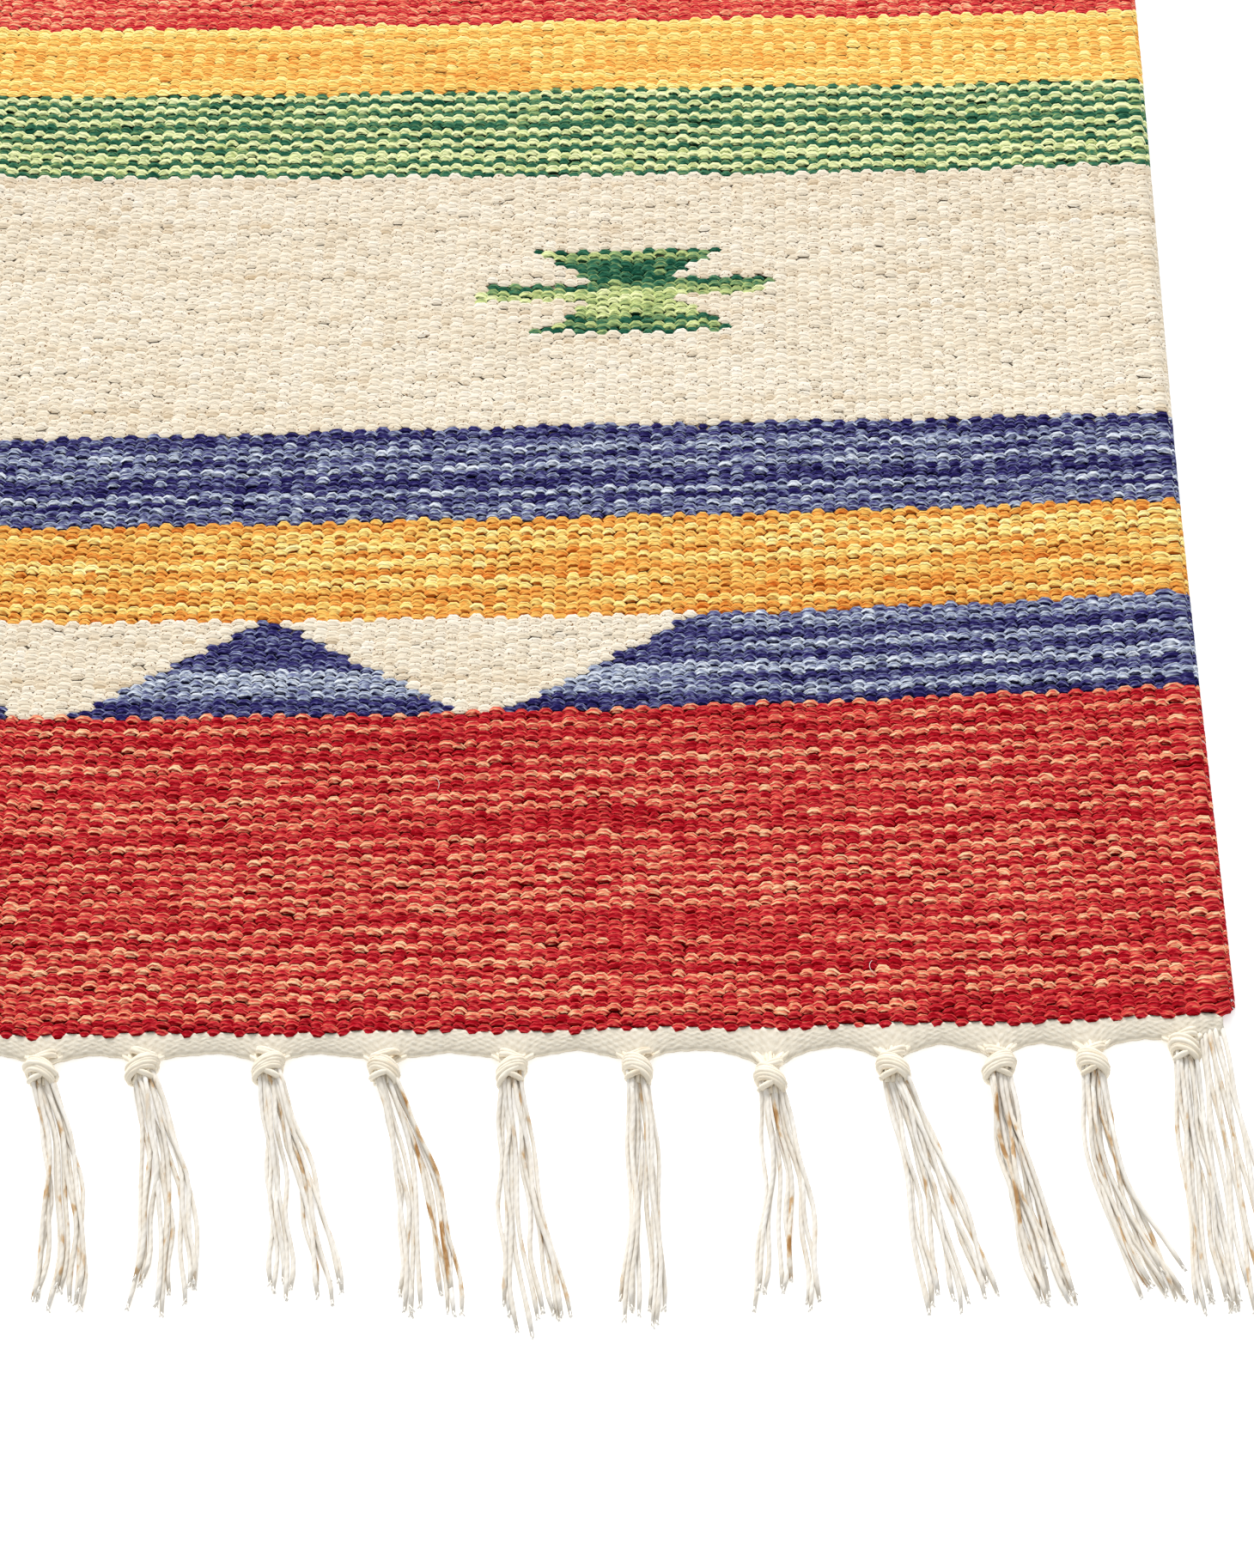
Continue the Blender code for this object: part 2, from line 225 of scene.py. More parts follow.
@dataclass(frozen=True)
class Template:
    """A small shape that is repeated, as read from a bmesh.

    Attributes:
        points: place of each point.
        corners: the point at each corner of each face.
        sizes: number of corners of each face.
    """

    points: np.ndarray
    corners: np.ndarray
    sizes: np.ndarray

    @classmethod
    def of(cls, shape: bmesh.types.BMesh) -> "Template":
        """Reads a bmesh and frees it.

        Args:
            shape: the bmesh.

        Returns:
            Its points and faces.
        """
        shape.verts.index_update()
        points = np.array([vertex.co for vertex in shape.verts])
        corners = np.concatenate([[v.index for v in face.verts] for face in shape.faces])
        sizes = np.array([len(face.verts) for face in shape.faces])
        shape.free()
        return cls(points, corners, sizes)

    def repeated(self, name: str, places: np.ndarray, material: bpy.types.Material) -> bpy.types.Object:
        """Makes one smooth object of many copies.

        Args:
            name: the new piece's name.
            places: every copy's points in millimetres, as copies x points x 3.
            material: the piece's finish.

        Returns:
            The object, which rides on the rug.
        """
        copies = len(places)
        corners = self.corners[None, :] + len(self.points) * np.arange(copies)[:, None]
        sizes = np.tile(self.sizes, copies)
        mesh = bpy.data.meshes.new(name)
        mesh.vertices.add(places.size // 3)
        mesh.vertices.foreach_set("co", (places * METRES).astype(np.float32).ravel())
        mesh.loops.add(corners.size)
        mesh.loops.foreach_set("vertex_index", corners.astype(np.int32).ravel())
        mesh.polygons.add(len(sizes))
        mesh.polygons.foreach_set("loop_start", (np.cumsum(sizes) - sizes).astype(np.int32))
        mesh.update(calc_edges=True)
        mesh.polygons.foreach_set("use_smooth", np.ones(len(sizes), bool))
        mesh.materials.append(material)
        piece = bpy.data.objects.new(name, mesh)
        bpy.context.scene.collection.objects.link(piece)
        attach(piece, BODY)
        return piece

    def map_faces(self, piece: bpy.types.Object, name: str, along: np.ndarray, around: np.ndarray) -> None:
        """Gives a piece of repeated copies a UV map.

        Args:
            piece: the object that repeated() made.
            name: the map's name.
            along: first coordinate at each corner, as copies x corners.
            around: second coordinate, in the same way.
        """
        layer = piece.data.uv_layers.new(name=name)
        places = np.stack(np.broadcast_arrays(along, around), axis=-1)
        layer.uv.foreach_set("vector", places.astype(np.float32).ravel())


def add_levels(piece: bpy.types.Object, name: str, levels: np.ndarray) -> None:
    """Gives each point of a piece a level that its material reads."""
    layer = piece.data.attributes.new(name, "FLOAT", "POINT")
    layer.data.foreach_set("value", levels.astype(np.float32).ravel())


@dataclass(frozen=True)
class Ripple:
    """One wave in the line of the wefts: its height, its lengths across and along the rug, and its start."""

    height: float
    across: float
    along: float
    start: float


@dataclass(frozen=True)
class ClothLie:
    """How the cloth lies: the line of its edges, the bow of its wefts and the height of its face.

    Attributes:
        half_width: half the cloth's width.
        half_length: half its length, without headings and tassels.
        edge_sway: how far a selvedge sways to each side.
        edge_sway_length: length of one sway.
        side_phase: where in its sway each selvedge starts.
        bow_power: shape of the wefts' bow.
        bow_places: Y of the places where the bow is known.
        bow_depths: how much further along the rug a weft's ends lie there than its middle.
        ripples: the smaller waves of the wefts.
        corner_start: X where a corner starts to draw in.
        corner_pull: how far the corner itself is drawn in.
        corner_length: length of selvedge that is drawn in.
        edge_insets: distances in from a selvedge, over its cords.
        edge_heights: height of the face at each of those.
        rim_insets: distances in from an end of the cloth.
        rim_heights: height of the face at each of those.
        swell: height of the slow swells of the face.
        swell_across: their size across the rug.
        swell_along: their size along it.
        swell_start: where the two start.
        swell_fade: distance from the edges over which they fade.
        roll_start: X where a selvedge's grains start to roll over its side.
        roll_reach: how far out they reach beyond it.
        roll_drop: how far they drop.
    """

    half_width: float = 300.0
    half_length: float = 450.0
    edge_sway: float = 0.7
    edge_sway_length: float = 420.0
    side_phase: float = 2.6
    bow_power: float = 1.8
    bow_places: tuple[float, ...] = (-450.0, -346.0, -245.0, -141.0, -73.0, 450.0)
    bow_depths: tuple[float, ...] = (10.2, 16.0, 14.5, 12.0, 14.0, 3.5)
    ripples: tuple[Ripple, ...] = (
        Ripple(1.1, 400.0, 9000.0, -0.17),
        Ripple(0.5, 400.0, -160.0, 2.3),
        Ripple(0.6, 600.0, 160.0, 2.9),
        Ripple(0.5, 600.0, 410.0, -2.3),
        Ripple(0.3, 61.0, 150.0, 4.0),
        Ripple(0.22, 18.5, 66.0, 1.2),
        Ripple(0.16, 12.0, -31.0, 3.3),
    )
    corner_start: float = 296.0
    corner_pull: float = 3.0
    corner_length: float = 20.0
    edge_insets: tuple[float, ...] = (0.0, 1.0, 2.5, 4.4, 6.4, 8.6, 14.0)
    edge_heights: tuple[float, ...] = (2.9, 3.7, 4.3, 3.5, 4.2, 3.6, 3.9)
    rim_insets: tuple[float, ...] = (0.0, 1.6, 5.0)
    rim_heights: tuple[float, ...] = (3.1, 3.6, 3.9)
    swell: float = 0.22
    swell_across: float = 46.0
    swell_along: float = 58.0
    swell_start: tuple[float, float] = (0.8, 0.3)
    swell_fade: float = 20.0
    roll_start: float = 298.4
    roll_reach: float = 2.7
    roll_drop: float = 2.9

    def bowed(self, across: np.ndarray, along: np.ndarray) -> np.ndarray:
        """Where a line of weft at this nominal place along the rug really lies.

        Args:
            across: X of the places, in millimetres as all of this class's places are.
            along: their nominal Y.

        Returns:
            Their real Y, before the ripples.
        """
        depth = np.interp(along, self.bow_places, self.bow_depths)
        share = np.minimum(np.abs(across) / self.half_width, 1.0)
        return along + depth * (share**self.bow_power - 1 / (self.bow_power + 1))

    def rippled(self, across: np.ndarray, along: np.ndarray) -> np.ndarray:
        """How far the ripples carry a weft along the rug.

        Args:
            across: X of the places.
            along: their nominal Y.

        Returns:
            The distance along Y.
        """
        waves = [
            r.height * np.sin(2 * math.pi * (across / r.across + along / r.along) + r.start)
            for r in self.ripples
        ]
        return np.sum(waves, axis=0)

    def rolled(self, across: np.ndarray) -> tuple[np.ndarray, np.ndarray]:
        """Wraps the grains at a selvedge round its side.

        Args:
            across: nominal X of the places.

        Returns:
            X drawn in, and how far the places drop.
        """
        over = np.maximum(np.abs(across) - self.roll_start, 0.0)
        turned = 1 - np.exp(-over / self.roll_reach)
        held = across - np.sign(across) * (over - self.roll_reach * turned)
        return held, self.roll_drop * turned**1.5

    def place(self, across: np.ndarray, along: np.ndarray) -> tuple[np.ndarray, np.ndarray]:
        """Real places on the cloth, with the selvedges' grains rolled over its sides.

        Args:
            across: nominal X of the places.
            along: their nominal Y.

        Returns:
            Their real X and Y.
        """
        held, _ = self.rolled(across)
        turn = 2 * math.pi * along / self.edge_sway_length
        edge = self.half_width + self.edge_sway * (1 + np.sin(turn + self.side_phase * np.sign(across)))
        corner_width = self.half_width - self.corner_start
        past_corner = np.clip((np.abs(held) - self.corner_start) / corner_width, 0.0, 1.0)
        near_end = np.clip(1 - (self.half_length - np.abs(along)) / self.corner_length, 0.0, 1.0)
        pull = self.corner_pull * past_corner**2 * near_end
        y = self.bowed(held, along) + self.rippled(held, along) - np.sign(along) * pull
        return held * edge / self.half_width, y

    def height(self, across: np.ndarray, along: np.ndarray) -> np.ndarray:
        """Height of the cloth's face.

        Args:
            across: nominal X of the places.
            along: their nominal Y.

        Returns:
            Their height above the floor.
        """
        inset_side = np.maximum(self.half_width - np.abs(across), 0.0)
        inset_end = np.maximum(self.half_length - np.abs(along), 0.0)
        at_side = np.interp(inset_side, self.edge_insets, self.edge_heights)
        at_end = np.interp(inset_end, self.rim_insets, self.rim_heights)
        start_across, start_along = self.swell_start
        swell = np.sin(across / self.swell_across + start_across)
        swell = swell * np.sin(along / self.swell_along + start_along)
        calm = np.minimum(np.minimum(inset_side, inset_end) / self.swell_fade, 1.0)
        return np.minimum(at_side, at_end) + self.swell * swell * calm

    def beyond(self, across: np.ndarray, end: End, distance: np.ndarray) -> np.ndarray:
        """Y of places beyond one of the cloth's ends, in the near end's layout.

        Args:
            across: X of the places in that layout.
            end: which end.
            distance: how far they lie beyond the cloth.

        Returns:
            Their Y in that layout.
        """
        if end is End.NEAR:
            return self.bowed(across, -self.half_length) - distance
        return -self.bowed(-np.asarray(across), self.half_length) - distance


@dataclass(frozen=True)
class Band:
    """A stripe of the rug.

    Attributes:
        yarn: its weft.
        length: its length along the rug.
        picks: its number of picks.
        lift: how much lighter its yarn's shades are made, as painted light on the band.
        fuzz: how far fibres fill its crevices, from 0 to 1.
        chart: for picks that don't come at random, a letter each from the near edge: dark, middle or light.
    """

    yarn: Yarn
    length: float
    picks: int
    lift: float = 0.0
    fuzz: float = 0.0
    chart: str = ""


@dataclass(frozen=True)
class DyeRuns:
    """How a yarn's shade changes from pick to pick: runs of lighter wefts that come and go along a row.

    Attributes:
        dark: shade of the usual picks, from 0 to 1 through the yarn's colours.
        light: shade of the light picks.
        gap: fewest and most picks between light runs.
        run: fewest and most picks in a light run.
        presence: how much of a light run shows, where 0.5 is half of its length.
        drift: spread of the slow changes over the cloth.
        grain: spread between neighbouring grains.
    """

    dark: float
    light: float
    gap: tuple[int, int]
    run: tuple[int, int]
    presence: float
    drift: float
    grain: float


DYE_RUNS = {
    Yarn.RED: DyeRuns(0.21, 0.67, (2, 4), (2, 2), 0.86, 0.04, 0.10),
    Yarn.YELLOW: DyeRuns(0.36, 0.73, (1, 4), (1, 3), 0.85, 0.06, 0.08),
    Yarn.BLUE: DyeRuns(0.18, 0.74, (1, 4), (2, 2), 0.78, 0.06, 0.13),
    Yarn.GREEN: DyeRuns(0.27, 0.97, (2, 2), (2, 2), 1.0, 0.06, 0.07),
    Yarn.CREAM: DyeRuns(0.60, 0.40, (4, 12), (1, 3), 0.60, 0.04, 0.08),
}


@dataclass(frozen=True)
class Stroke:
    """One stroke of the stepped motif, as rows of its outline and of its green.

    Attributes:
        rows: rising places along the rug, from the motif's middle.
        left: the stroke's left edge at each of them.
        right: its right edge.
        shade_rows: rising places for the shades.
        shades: shade of the green at each of those.
    """

    rows: tuple[float, ...]
    left: tuple[float, ...]
    right: tuple[float, ...]
    shade_rows: tuple[float, ...]
    shades: tuple[float, ...]

    def covers(self, across: np.ndarray, along: np.ndarray) -> np.ndarray:
        """Finds the places inside the stroke.

        Args:
            across: distances to the right of the motif's middle.
            along: distances above it.

        Returns:
            True for each place inside.
        """
        in_rows = (along >= self.rows[0]) & (along <= self.rows[-1])
        after_left = across >= np.interp(along, self.rows, self.left)
        before_right = across <= np.interp(along, self.rows, self.right)
        return in_rows & after_left & before_right


@dataclass(frozen=True)
class Motif:
    """The small stepped figure in the cream band: two facing wedges with an arm on each side.

    Attributes:
        across: how far its middle lies from the rug's long middle line.
        along: how far it lies from the line that halves the rug's length.
        strokes: the arms and the wedges.
    """

    across: float = 150.0
    along: float = 189.5
    strokes: tuple[Stroke, ...] = (
        Stroke((-5.2, 1.8), (-43.4, -41.0), (-6.0, -6.0), (-2.4, -1.6, -0.4, 0.2), (0.8, 0.55, 0.45, 0.2)),
        Stroke((-2.6, 4.8), (4.0, 4.0), (37.0, 41.0), (-0.8, 0.2, 2.0, 2.8), (0.75, 0.6, 0.45, 0.2)),
        Stroke(
            (-19.0, -15.0, -10.5, -4.6, 1.6),
            (-29.0, -22.5, -15.5, -12.0, -8.0),
            (29.0, 27.5, 22.0, 14.0, 8.0),
            (-16.4, -15.4, -14.6, -13.8, -12.2, -11.4, -10.4, -1.0, 0.4),
            (0.14, 0.66, 0.66, 0.18, 0.25, 0.7, 0.76, 0.84, 0.5),
        ),
        Stroke(
            (0.6, 16.8),
            (-8.2, -27.2),
            (8.2, 27.2),
            (2.4, 3.2, 12.2, 12.8, 14.8, 15.2),
            (0.45, 0.2, 0.22, 0.66, 0.66, 0.12),
        ),
    )

    def shades(self, across: np.ndarray, along: np.ndarray) -> np.ndarray:
        """Shade of the motifs' green.

        Args:
            across: X of places on the cloth.
            along: their nominal Y.

        Returns:
            The shade at each place, or -1 where there is no motif.
        """
        from_middle = np.where(across < 0, -1, 1) * (np.abs(across) - self.across)
        toward_middle = self.along - np.abs(along)
        found = np.full(across.shape, -1.0)
        for stroke in self.strokes:
            shade = np.interp(toward_middle, stroke.shade_rows, stroke.shades)
            found = np.where(stroke.covers(from_middle, toward_middle), shade, found)
        return found


@dataclass(frozen=True)
class Zigzag:
    """The band of cream teeth that hang between navy hills.

    Attributes:
        teeth: X of the middle of each tooth.
        foot: half a tooth's width at the red band.
        top: half its width at the yellow band.
        hill_end: X where the rows of the hills start to turn into those of the sides.
        side_start: distance over which they do.
        hill_rows: rising places in the band, from 0 to 1, for the shades of the hills.
        hill_shades: shade of the blue at each of those.
        side_rows: the same for the plain stretch beside the teeth.
        side_shades: shade of the blue at each of those.
    """

    teeth: tuple[float, ...] = (-114.2, 0.0, 114.2)
    foot: float = 5.6
    top: float = 55.2
    hill_end: float = 150.0
    side_start: float = 40.0
    hill_rows: tuple[float, ...] = (0.0, 0.15, 0.19, 0.44, 0.49, 1.0)
    hill_shades: tuple[float, ...] = (0.24, 0.22, 0.66, 0.84, 0.27, 0.22)
    side_rows: tuple[float, ...] = (
        0.0, 0.08, 0.11, 0.19, 0.23, 0.32, 0.35, 0.44, 0.48, 0.57, 0.6, 0.68, 0.71, 0.8, 0.84, 0.92, 1.0,
    )
    side_shades: tuple[float, ...] = (
        0.1, 0.14, 0.74, 0.72, 0.24, 0.2, 0.8, 0.74, 0.24, 0.28, 0.72, 0.68, 0.16, 0.2, 0.66, 0.62, 0.5,
    )

    def cream(self, across: np.ndarray, rise: np.ndarray) -> np.ndarray:
        """True inside a tooth; rise goes from 0 at the red band to 1 at the yellow one."""
        half = self.foot + (self.top - self.foot) * rise
        return np.any([np.abs(across - tooth) < half for tooth in self.teeth], axis=0)

    def blue_shade(self, across: np.ndarray, rise: np.ndarray) -> np.ndarray:
        """Shade of the blue between and beside the teeth.

        Args:
            across: X of the places.
            rise: their place in the band, from 0 at the red band to 1 at the yellow one.

        Returns:
            The shade at each place.
        """
        hill = np.interp(rise, self.hill_rows, self.hill_shades)
        side = np.interp(rise, self.side_rows, self.side_shades)
        beside = smooth_step((np.abs(across) - self.hill_end) / self.side_start)
        return hill + (side - hill) * beside


@dataclass
class Weave:
    """The chart of the whole cloth: each warp, each pick, and the yarn and shade at each crossing.

    Attributes:
        lie: how the cloth lies.
        warps: number of warps, with the selvedges' cords.
        cords: stout cords in each selvedge.
        cord_width: width of one of them.
        wrap_width: width of the turn of weft outside them.
        bands: the bands from the near end to the middle.
        zigzag_band: which of them holds the zigzag.
        zigzag: its teeth and hills.
        motif: the stepped figure in the cream band.
        blurring: how far the shades of a fuzzy band draw together.
        blurred_shade: the shade that they draw to.
        run_patches: picks and warps from one coming or going of the light runs to the next.
        run_details: the same for the finer part of it.
        drift_patches: picks and warps from one slow change of shade to the next.
        drift_details: the same for the finer part of it.
        hill_grain: spread between neighbouring grains of the zigzag's blue.
        motif_grain: the same for the motif's green.
        seed: of everything here that comes at random.
        warp_x: X of each warp.
        warp_width: width of each.
        pick_y: nominal Y of each pick.
        pick_width: width of each.
        pick_band: the number of its band.
        pick_number: its number within the band.
        yarns: the yarn at each crossing, as picks x warps.
        shades: its shade.
    """

    lie: ClothLie
    warps: int = 190
    cords: int = 2
    cord_width: float = 4.2
    wrap_width: float = 3.6
    bands: tuple[Band, ...] = (
        Band(Yarn.RED, 103.5, 98),
        Band(Yarn.BLUE, 32.8, 30),
        Band(Yarn.YELLOW, 35.1, 29),
        Band(Yarn.BLUE, 33.7, 32, chart="mmmmlmddllmdddmdmllmmdmllmmmddmd"),
        Band(Yarn.CREAM, 103.8, 85),
        Band(Yarn.GREEN, 37.2, 31, chart="ddllddlllddllddlldddllddllddlld"),
        # The two middle bands carry painted light: their shades are lifted.
        Band(Yarn.YELLOW, 30.4, 27, 0.1, 0.7),
        Band(Yarn.RED, 73.5, 65, 0.05, 0.65),
    )
    zigzag_band: int = 1
    zigzag: Zigzag = Zigzag()
    motif: Motif = Motif()
    blurring: float = 0.5
    blurred_shade: float = 0.45
    run_patches: tuple[float, float] = (3.2, 24.0)
    run_details: tuple[float, float] = (2.6, 7.0)
    drift_patches: tuple[float, float] = (9.0, 40.0)
    drift_details: tuple[float, float] = (2.0, 5.0)
    hill_grain: float = 0.09
    motif_grain: float = 0.12
    seed: int = 2207
    warp_x: np.ndarray = field(init=False)
    warp_width: np.ndarray = field(init=False)
    pick_y: np.ndarray = field(init=False)
    pick_width: np.ndarray = field(init=False)
    pick_band: np.ndarray = field(init=False)
    pick_number: np.ndarray = field(init=False)
    yarns: np.ndarray = field(init=False)
    shades: np.ndarray = field(init=False)

    def __post_init__(self) -> None:
        """Sets out the warps and picks, then fills the chart."""
        self.set_out_warps()
        self.set_out_picks()
        self.fill_chart()

    def set_out_warps(self) -> None:
        """Places the warps, with stout cords at the selvedges and a turn of weft outside them."""
        between_cords = 2 * (self.lie.half_width - self.cords * self.cord_width)
        widths = np.full(self.warps, between_cords / (self.warps - 2 * self.cords))
        widths[: self.cords] = self.cord_width
        widths[-self.cords :] = self.cord_width
        widths = np.concatenate([[self.wrap_width], widths, [self.wrap_width]])
        edges = np.cumsum(widths) - self.wrap_width - self.lie.half_width
        self.warp_x = edges - widths / 2
        self.warp_width = widths

    def set_out_picks(self) -> None:
        """Places the picks of the near half, from its end to the middle, and mirrors them beyond it."""
        places, widths, bands, numbers = [], [], [], []
        start = -self.lie.half_length
        for number, band in enumerate(self.bands):
            width = band.length / band.picks
            places.append(start + width * (np.arange(band.picks) + 0.5))
            widths.append(np.full(band.picks, width))
            bands.append(np.full(band.picks, number))
            numbers.append(np.arange(band.picks))
            start += band.length
        near_y = np.concatenate(places)
        self.pick_y = np.concatenate([near_y, -near_y[::-1]])
        self.pick_width, self.pick_band, self.pick_number = (
            np.concatenate([near, near[::-1]]) for near in map(np.concatenate, (widths, bands, numbers))
        )

    def light_runs(self, runs: DyeRuns, chance: np.random.Generator) -> np.ndarray:
        """Picks out the lighter wefts of a yarn.

        Args:
            runs: how often they come.
            chance: the seeded source of their numbers.

        Returns:
            1 for each pick that belongs to a light run, and 0 for the others.
        """
        marks: list[int] = []
        while len(marks) < len(self.pick_y):
            for mark, (fewest, most) in enumerate((runs.gap, runs.run)):
                marks += [mark] * int(chance.integers(fewest, most + 1))
        return np.array(marks[: len(self.pick_y)])

    def dyed(self, yarn: Yarn, chance: np.random.Generator) -> np.ndarray:
        """Dyes the whole chart in one yarn.

        Args:
            yarn: the yarn.
            chance: the seeded source of its shades.

        Returns:
            Its shade at every crossing, as picks x warps.
        """
        runs = DYE_RUNS[yarn]
        shape = (len(self.pick_y), len(self.warp_x))
        marks = self.light_runs(runs, chance)[:, None]
        comes = 0.8 * soft_noise(chance, shape, *self.run_patches)
        comes += 0.6 * soft_noise(chance, shape, *self.run_details)
        # The two together spread about 1.2 to each side, so presence slides them past the half-way mark.
        present = smooth_step((comes + 2.4 * (runs.presence - 0.5)) / 1.2 + 0.5)
        wander = soft_noise(chance, shape, *self.drift_patches)
        wander += 0.5 * soft_noise(chance, shape, *self.drift_details)
        grain = chance.standard_normal(shape)
        light = (runs.light - runs.dark) * marks * present
        return runs.dark + light + runs.drift * wander + runs.grain * grain

    def fill_chart(self) -> None:
        """Works out the yarn and shade at every crossing."""
        chance = np.random.default_rng(self.seed)
        across, along = np.meshgrid(self.warp_x, self.pick_y)
        band_yarns = np.array([band.yarn.value for band in self.bands])
        yarns = np.broadcast_to(band_yarns[self.pick_band][:, None], across.shape).copy()
        dyed = {yarn: self.dyed(yarn, chance) for yarn in Yarn}
        grain = chance.standard_normal(across.shape)

        in_zigzag = np.broadcast_to((self.pick_band == self.zigzag_band)[:, None], across.shape)
        before = sum(band.length for band in self.bands[: self.zigzag_band])
        rise = (self.lie.half_length - np.abs(along) - before) / self.bands[self.zigzag_band].length
        yarns[in_zigzag & self.zigzag.cream(across, rise)] = Yarn.CREAM.value
        hills = self.zigzag.blue_shade(across, rise) + self.hill_grain * grain
        dyed[Yarn.BLUE] = np.where(in_zigzag, hills, dyed[Yarn.BLUE])

        for number, band in enumerate(self.bands):
            if band.chart:
                in_band = self.pick_band == number
                runs = DYE_RUNS[band.yarn]
                levels = {"d": runs.dark, "m": (runs.dark + runs.light) / 2, "l": runs.light}
                rows = np.array([levels[mark] for mark in band.chart])[self.pick_number[in_band]]
                dyed[band.yarn][in_band] = rows[:, None] + runs.grain * grain[in_band]

        motif_shade = self.motif.shades(across, along)
        inside = (motif_shade >= 0) & (yarns == Yarn.CREAM.value)
        yarns[inside] = Yarn.GREEN.value
        dyed[Yarn.GREEN][inside] = (motif_shade + self.motif_grain * grain)[inside]

        # Painted light: each band's lift makes its shades lighter.
        painted_light_lifts = np.array([band.lift for band in self.bands])[self.pick_band][:, None]
        blurred = self.blurring * self.band_fuzz()[self.pick_band][:, None]
        lifted = np.choose(yarns, [dyed[yarn] for yarn in Yarn]) + painted_light_lifts
        self.yarns = yarns
        self.shades = np.clip(lifted + blurred * (self.blurred_shade - lifted), 0.0, 1.0)

    def band_fuzz(self) -> np.ndarray:
        """How far fibres fill the crevices of each band."""
        return np.array([band.fuzz for band in self.bands])


@dataclass(frozen=True)
class WeftFinish:
    """Dyed cotton weft, thick and softly spun: matt, with painted shade in its crevices, and painted light
    on its plies and on its grains' far sides.

    Attributes:
        name: the material's name.
        colours: places from 0 to 1 and hex colours, from the darkest dye to the lightest.
        painted_crevice_shade: hex colour of the painted shade deep between the grains.
        fleck: share of dark seed flecks in the yarn, from 0 to 1.
        fuzz: how far its own fibres fill its crevices, from 0 to 1.
        fibre_length: length of a streak of fibres, in millimetres.
        fibre_width: its width.
        fibre_contrast: how far streaks move the shade.
        painted_shade_width: share of a grain's side that lies in the painted crevice shade.
        ragged: how far streaks fray the edge of the painted crevice shade.
        ply_pitch: width of one ply across the yarn.
        ply_lay: length of a ply's turn along it.
        ply_wobble: how far streaks bend the plies.
        ply_painted_light: how far plies move the shade, as painted highlight and painted shade along the
            twist.
        ply_depth: how far they move the edge of the painted crevice shade.
        ply_height: their share of the relief.
        relief: height of the relief, in millimetres.
        fleck_size: size of the flecks, in millimetres.
        fleck_colour: their hex colour.
        roughness: the shader's roughness.
    """

    name: str
    colours: tuple[tuple[float, str], ...]
    painted_crevice_shade: str
    fleck: float = 0.0
    fuzz: float = 0.0
    fibre_length: float = 2.1
    fibre_width: float = 0.46
    fibre_contrast: float = 1.0
    painted_shade_width: float = 0.34
    ragged: float = 0.7
    ply_pitch: float = 0.85
    ply_lay: float = 8.0
    ply_wobble: float = 5.0
    ply_painted_light: float = 0.08
    ply_depth: float = 0.16
    ply_height: float = 0.4
    relief: float = 0.3
    fleck_size: float = 0.7
    fleck_colour: str = "#8a6a4c"
    roughness: float = 1.0

    def material(self) -> bpy.types.Material:
        """Makes the finish, which reads each grain's shade and how free it is of painted crevice shade, and
        the yarn's own map.

        Returns:
            The material.
        """
        material, tree = blank_material(self.name)
        shade = add_node(tree, "Attribute", attribute_name="shade").outputs["Fac"]
        free_of_painted_shade = add_node(tree, "Attribute", attribute_name="free_of_painted_shade").outputs["Fac"]
        yarn = add_node(tree, "UVMap", uv_map="yarn")
        # A cotton fibre is about 0.02 mm thick, so the streaks are drawn as coarse as tufts of fibres.
        scale = (1 / self.fibre_length, 1 / self.fibre_width, 1.0)
        fibres = add_node(tree, "VectorMath", {0: yarn, 1: scale}, operation="MULTIPLY")
        streaks = add_node(
            tree, "TexNoise", {"Vector": fibres, "Scale": 1.0, "Detail": 3.0}, noise_dimensions="2D"
        )
        centred = add_node(tree, "Math", {0: streaks, 1: 0.5}, operation="SUBTRACT")

        lay = (2 * math.pi / self.ply_lay, 2 * math.pi / self.ply_pitch, 0.0)
        turns = add_node(tree, "VectorMath", {0: yarn, 1: lay}, operation="DOT_PRODUCT").outputs["Value"]
        wobbled = add_node(
            tree, "Math", {0: centred, 1: self.ply_wobble, 2: turns}, operation="MULTIPLY_ADD"
        )
        plies = add_node(tree, "Math", {0: wobbled}, operation="SINE")

        fibred = add_node(
            tree, "Math", {0: centred, 1: self.fibre_contrast, 2: shade}, operation="MULTIPLY_ADD"
        )
        # Painted light: the plies lighten and darken the dye in step with their relief.
        mixed = add_node(
            tree, "Math", {0: plies, 1: self.ply_painted_light, 2: fibred}, operation="MULTIPLY_ADD"
        )
        dye = add_node(tree, "ValToRGB", {0: mixed}, stops=self.colours)

        # Painted shade: down a grain's sides the dye fades into the painted crevice shade colour, with an
        # edge that streaks and plies fray.
        rise = add_node(tree, "Math", {0: centred, 1: self.ragged, 2: free_of_painted_shade}, operation="MULTIPLY_ADD")
        bared = add_node(tree, "Math", {0: plies, 1: self.ply_depth, 2: rise}, operation="MULTIPLY_ADD")
        depth = add_node(
            tree, "MapRange", {"Value": bared, "From Max": self.painted_shade_width},
            interpolation_type="SMOOTHSTEP",
        )
        colour = add_node(
            tree, "Mix", {"Factor": depth, 6: linear(self.painted_crevice_shade), 7: dye}, data_type="RGBA"
        ).outputs[2]
        if self.fleck:
            colour = self.flecked(tree, colour)
        relief = add_node(
            tree, "Math", {0: plies, 1: self.ply_height, 2: streaks}, operation="MULTIPLY_ADD"
        )
        matt_surface(tree, colour, self.roughness, relief, self.relief)
        return material

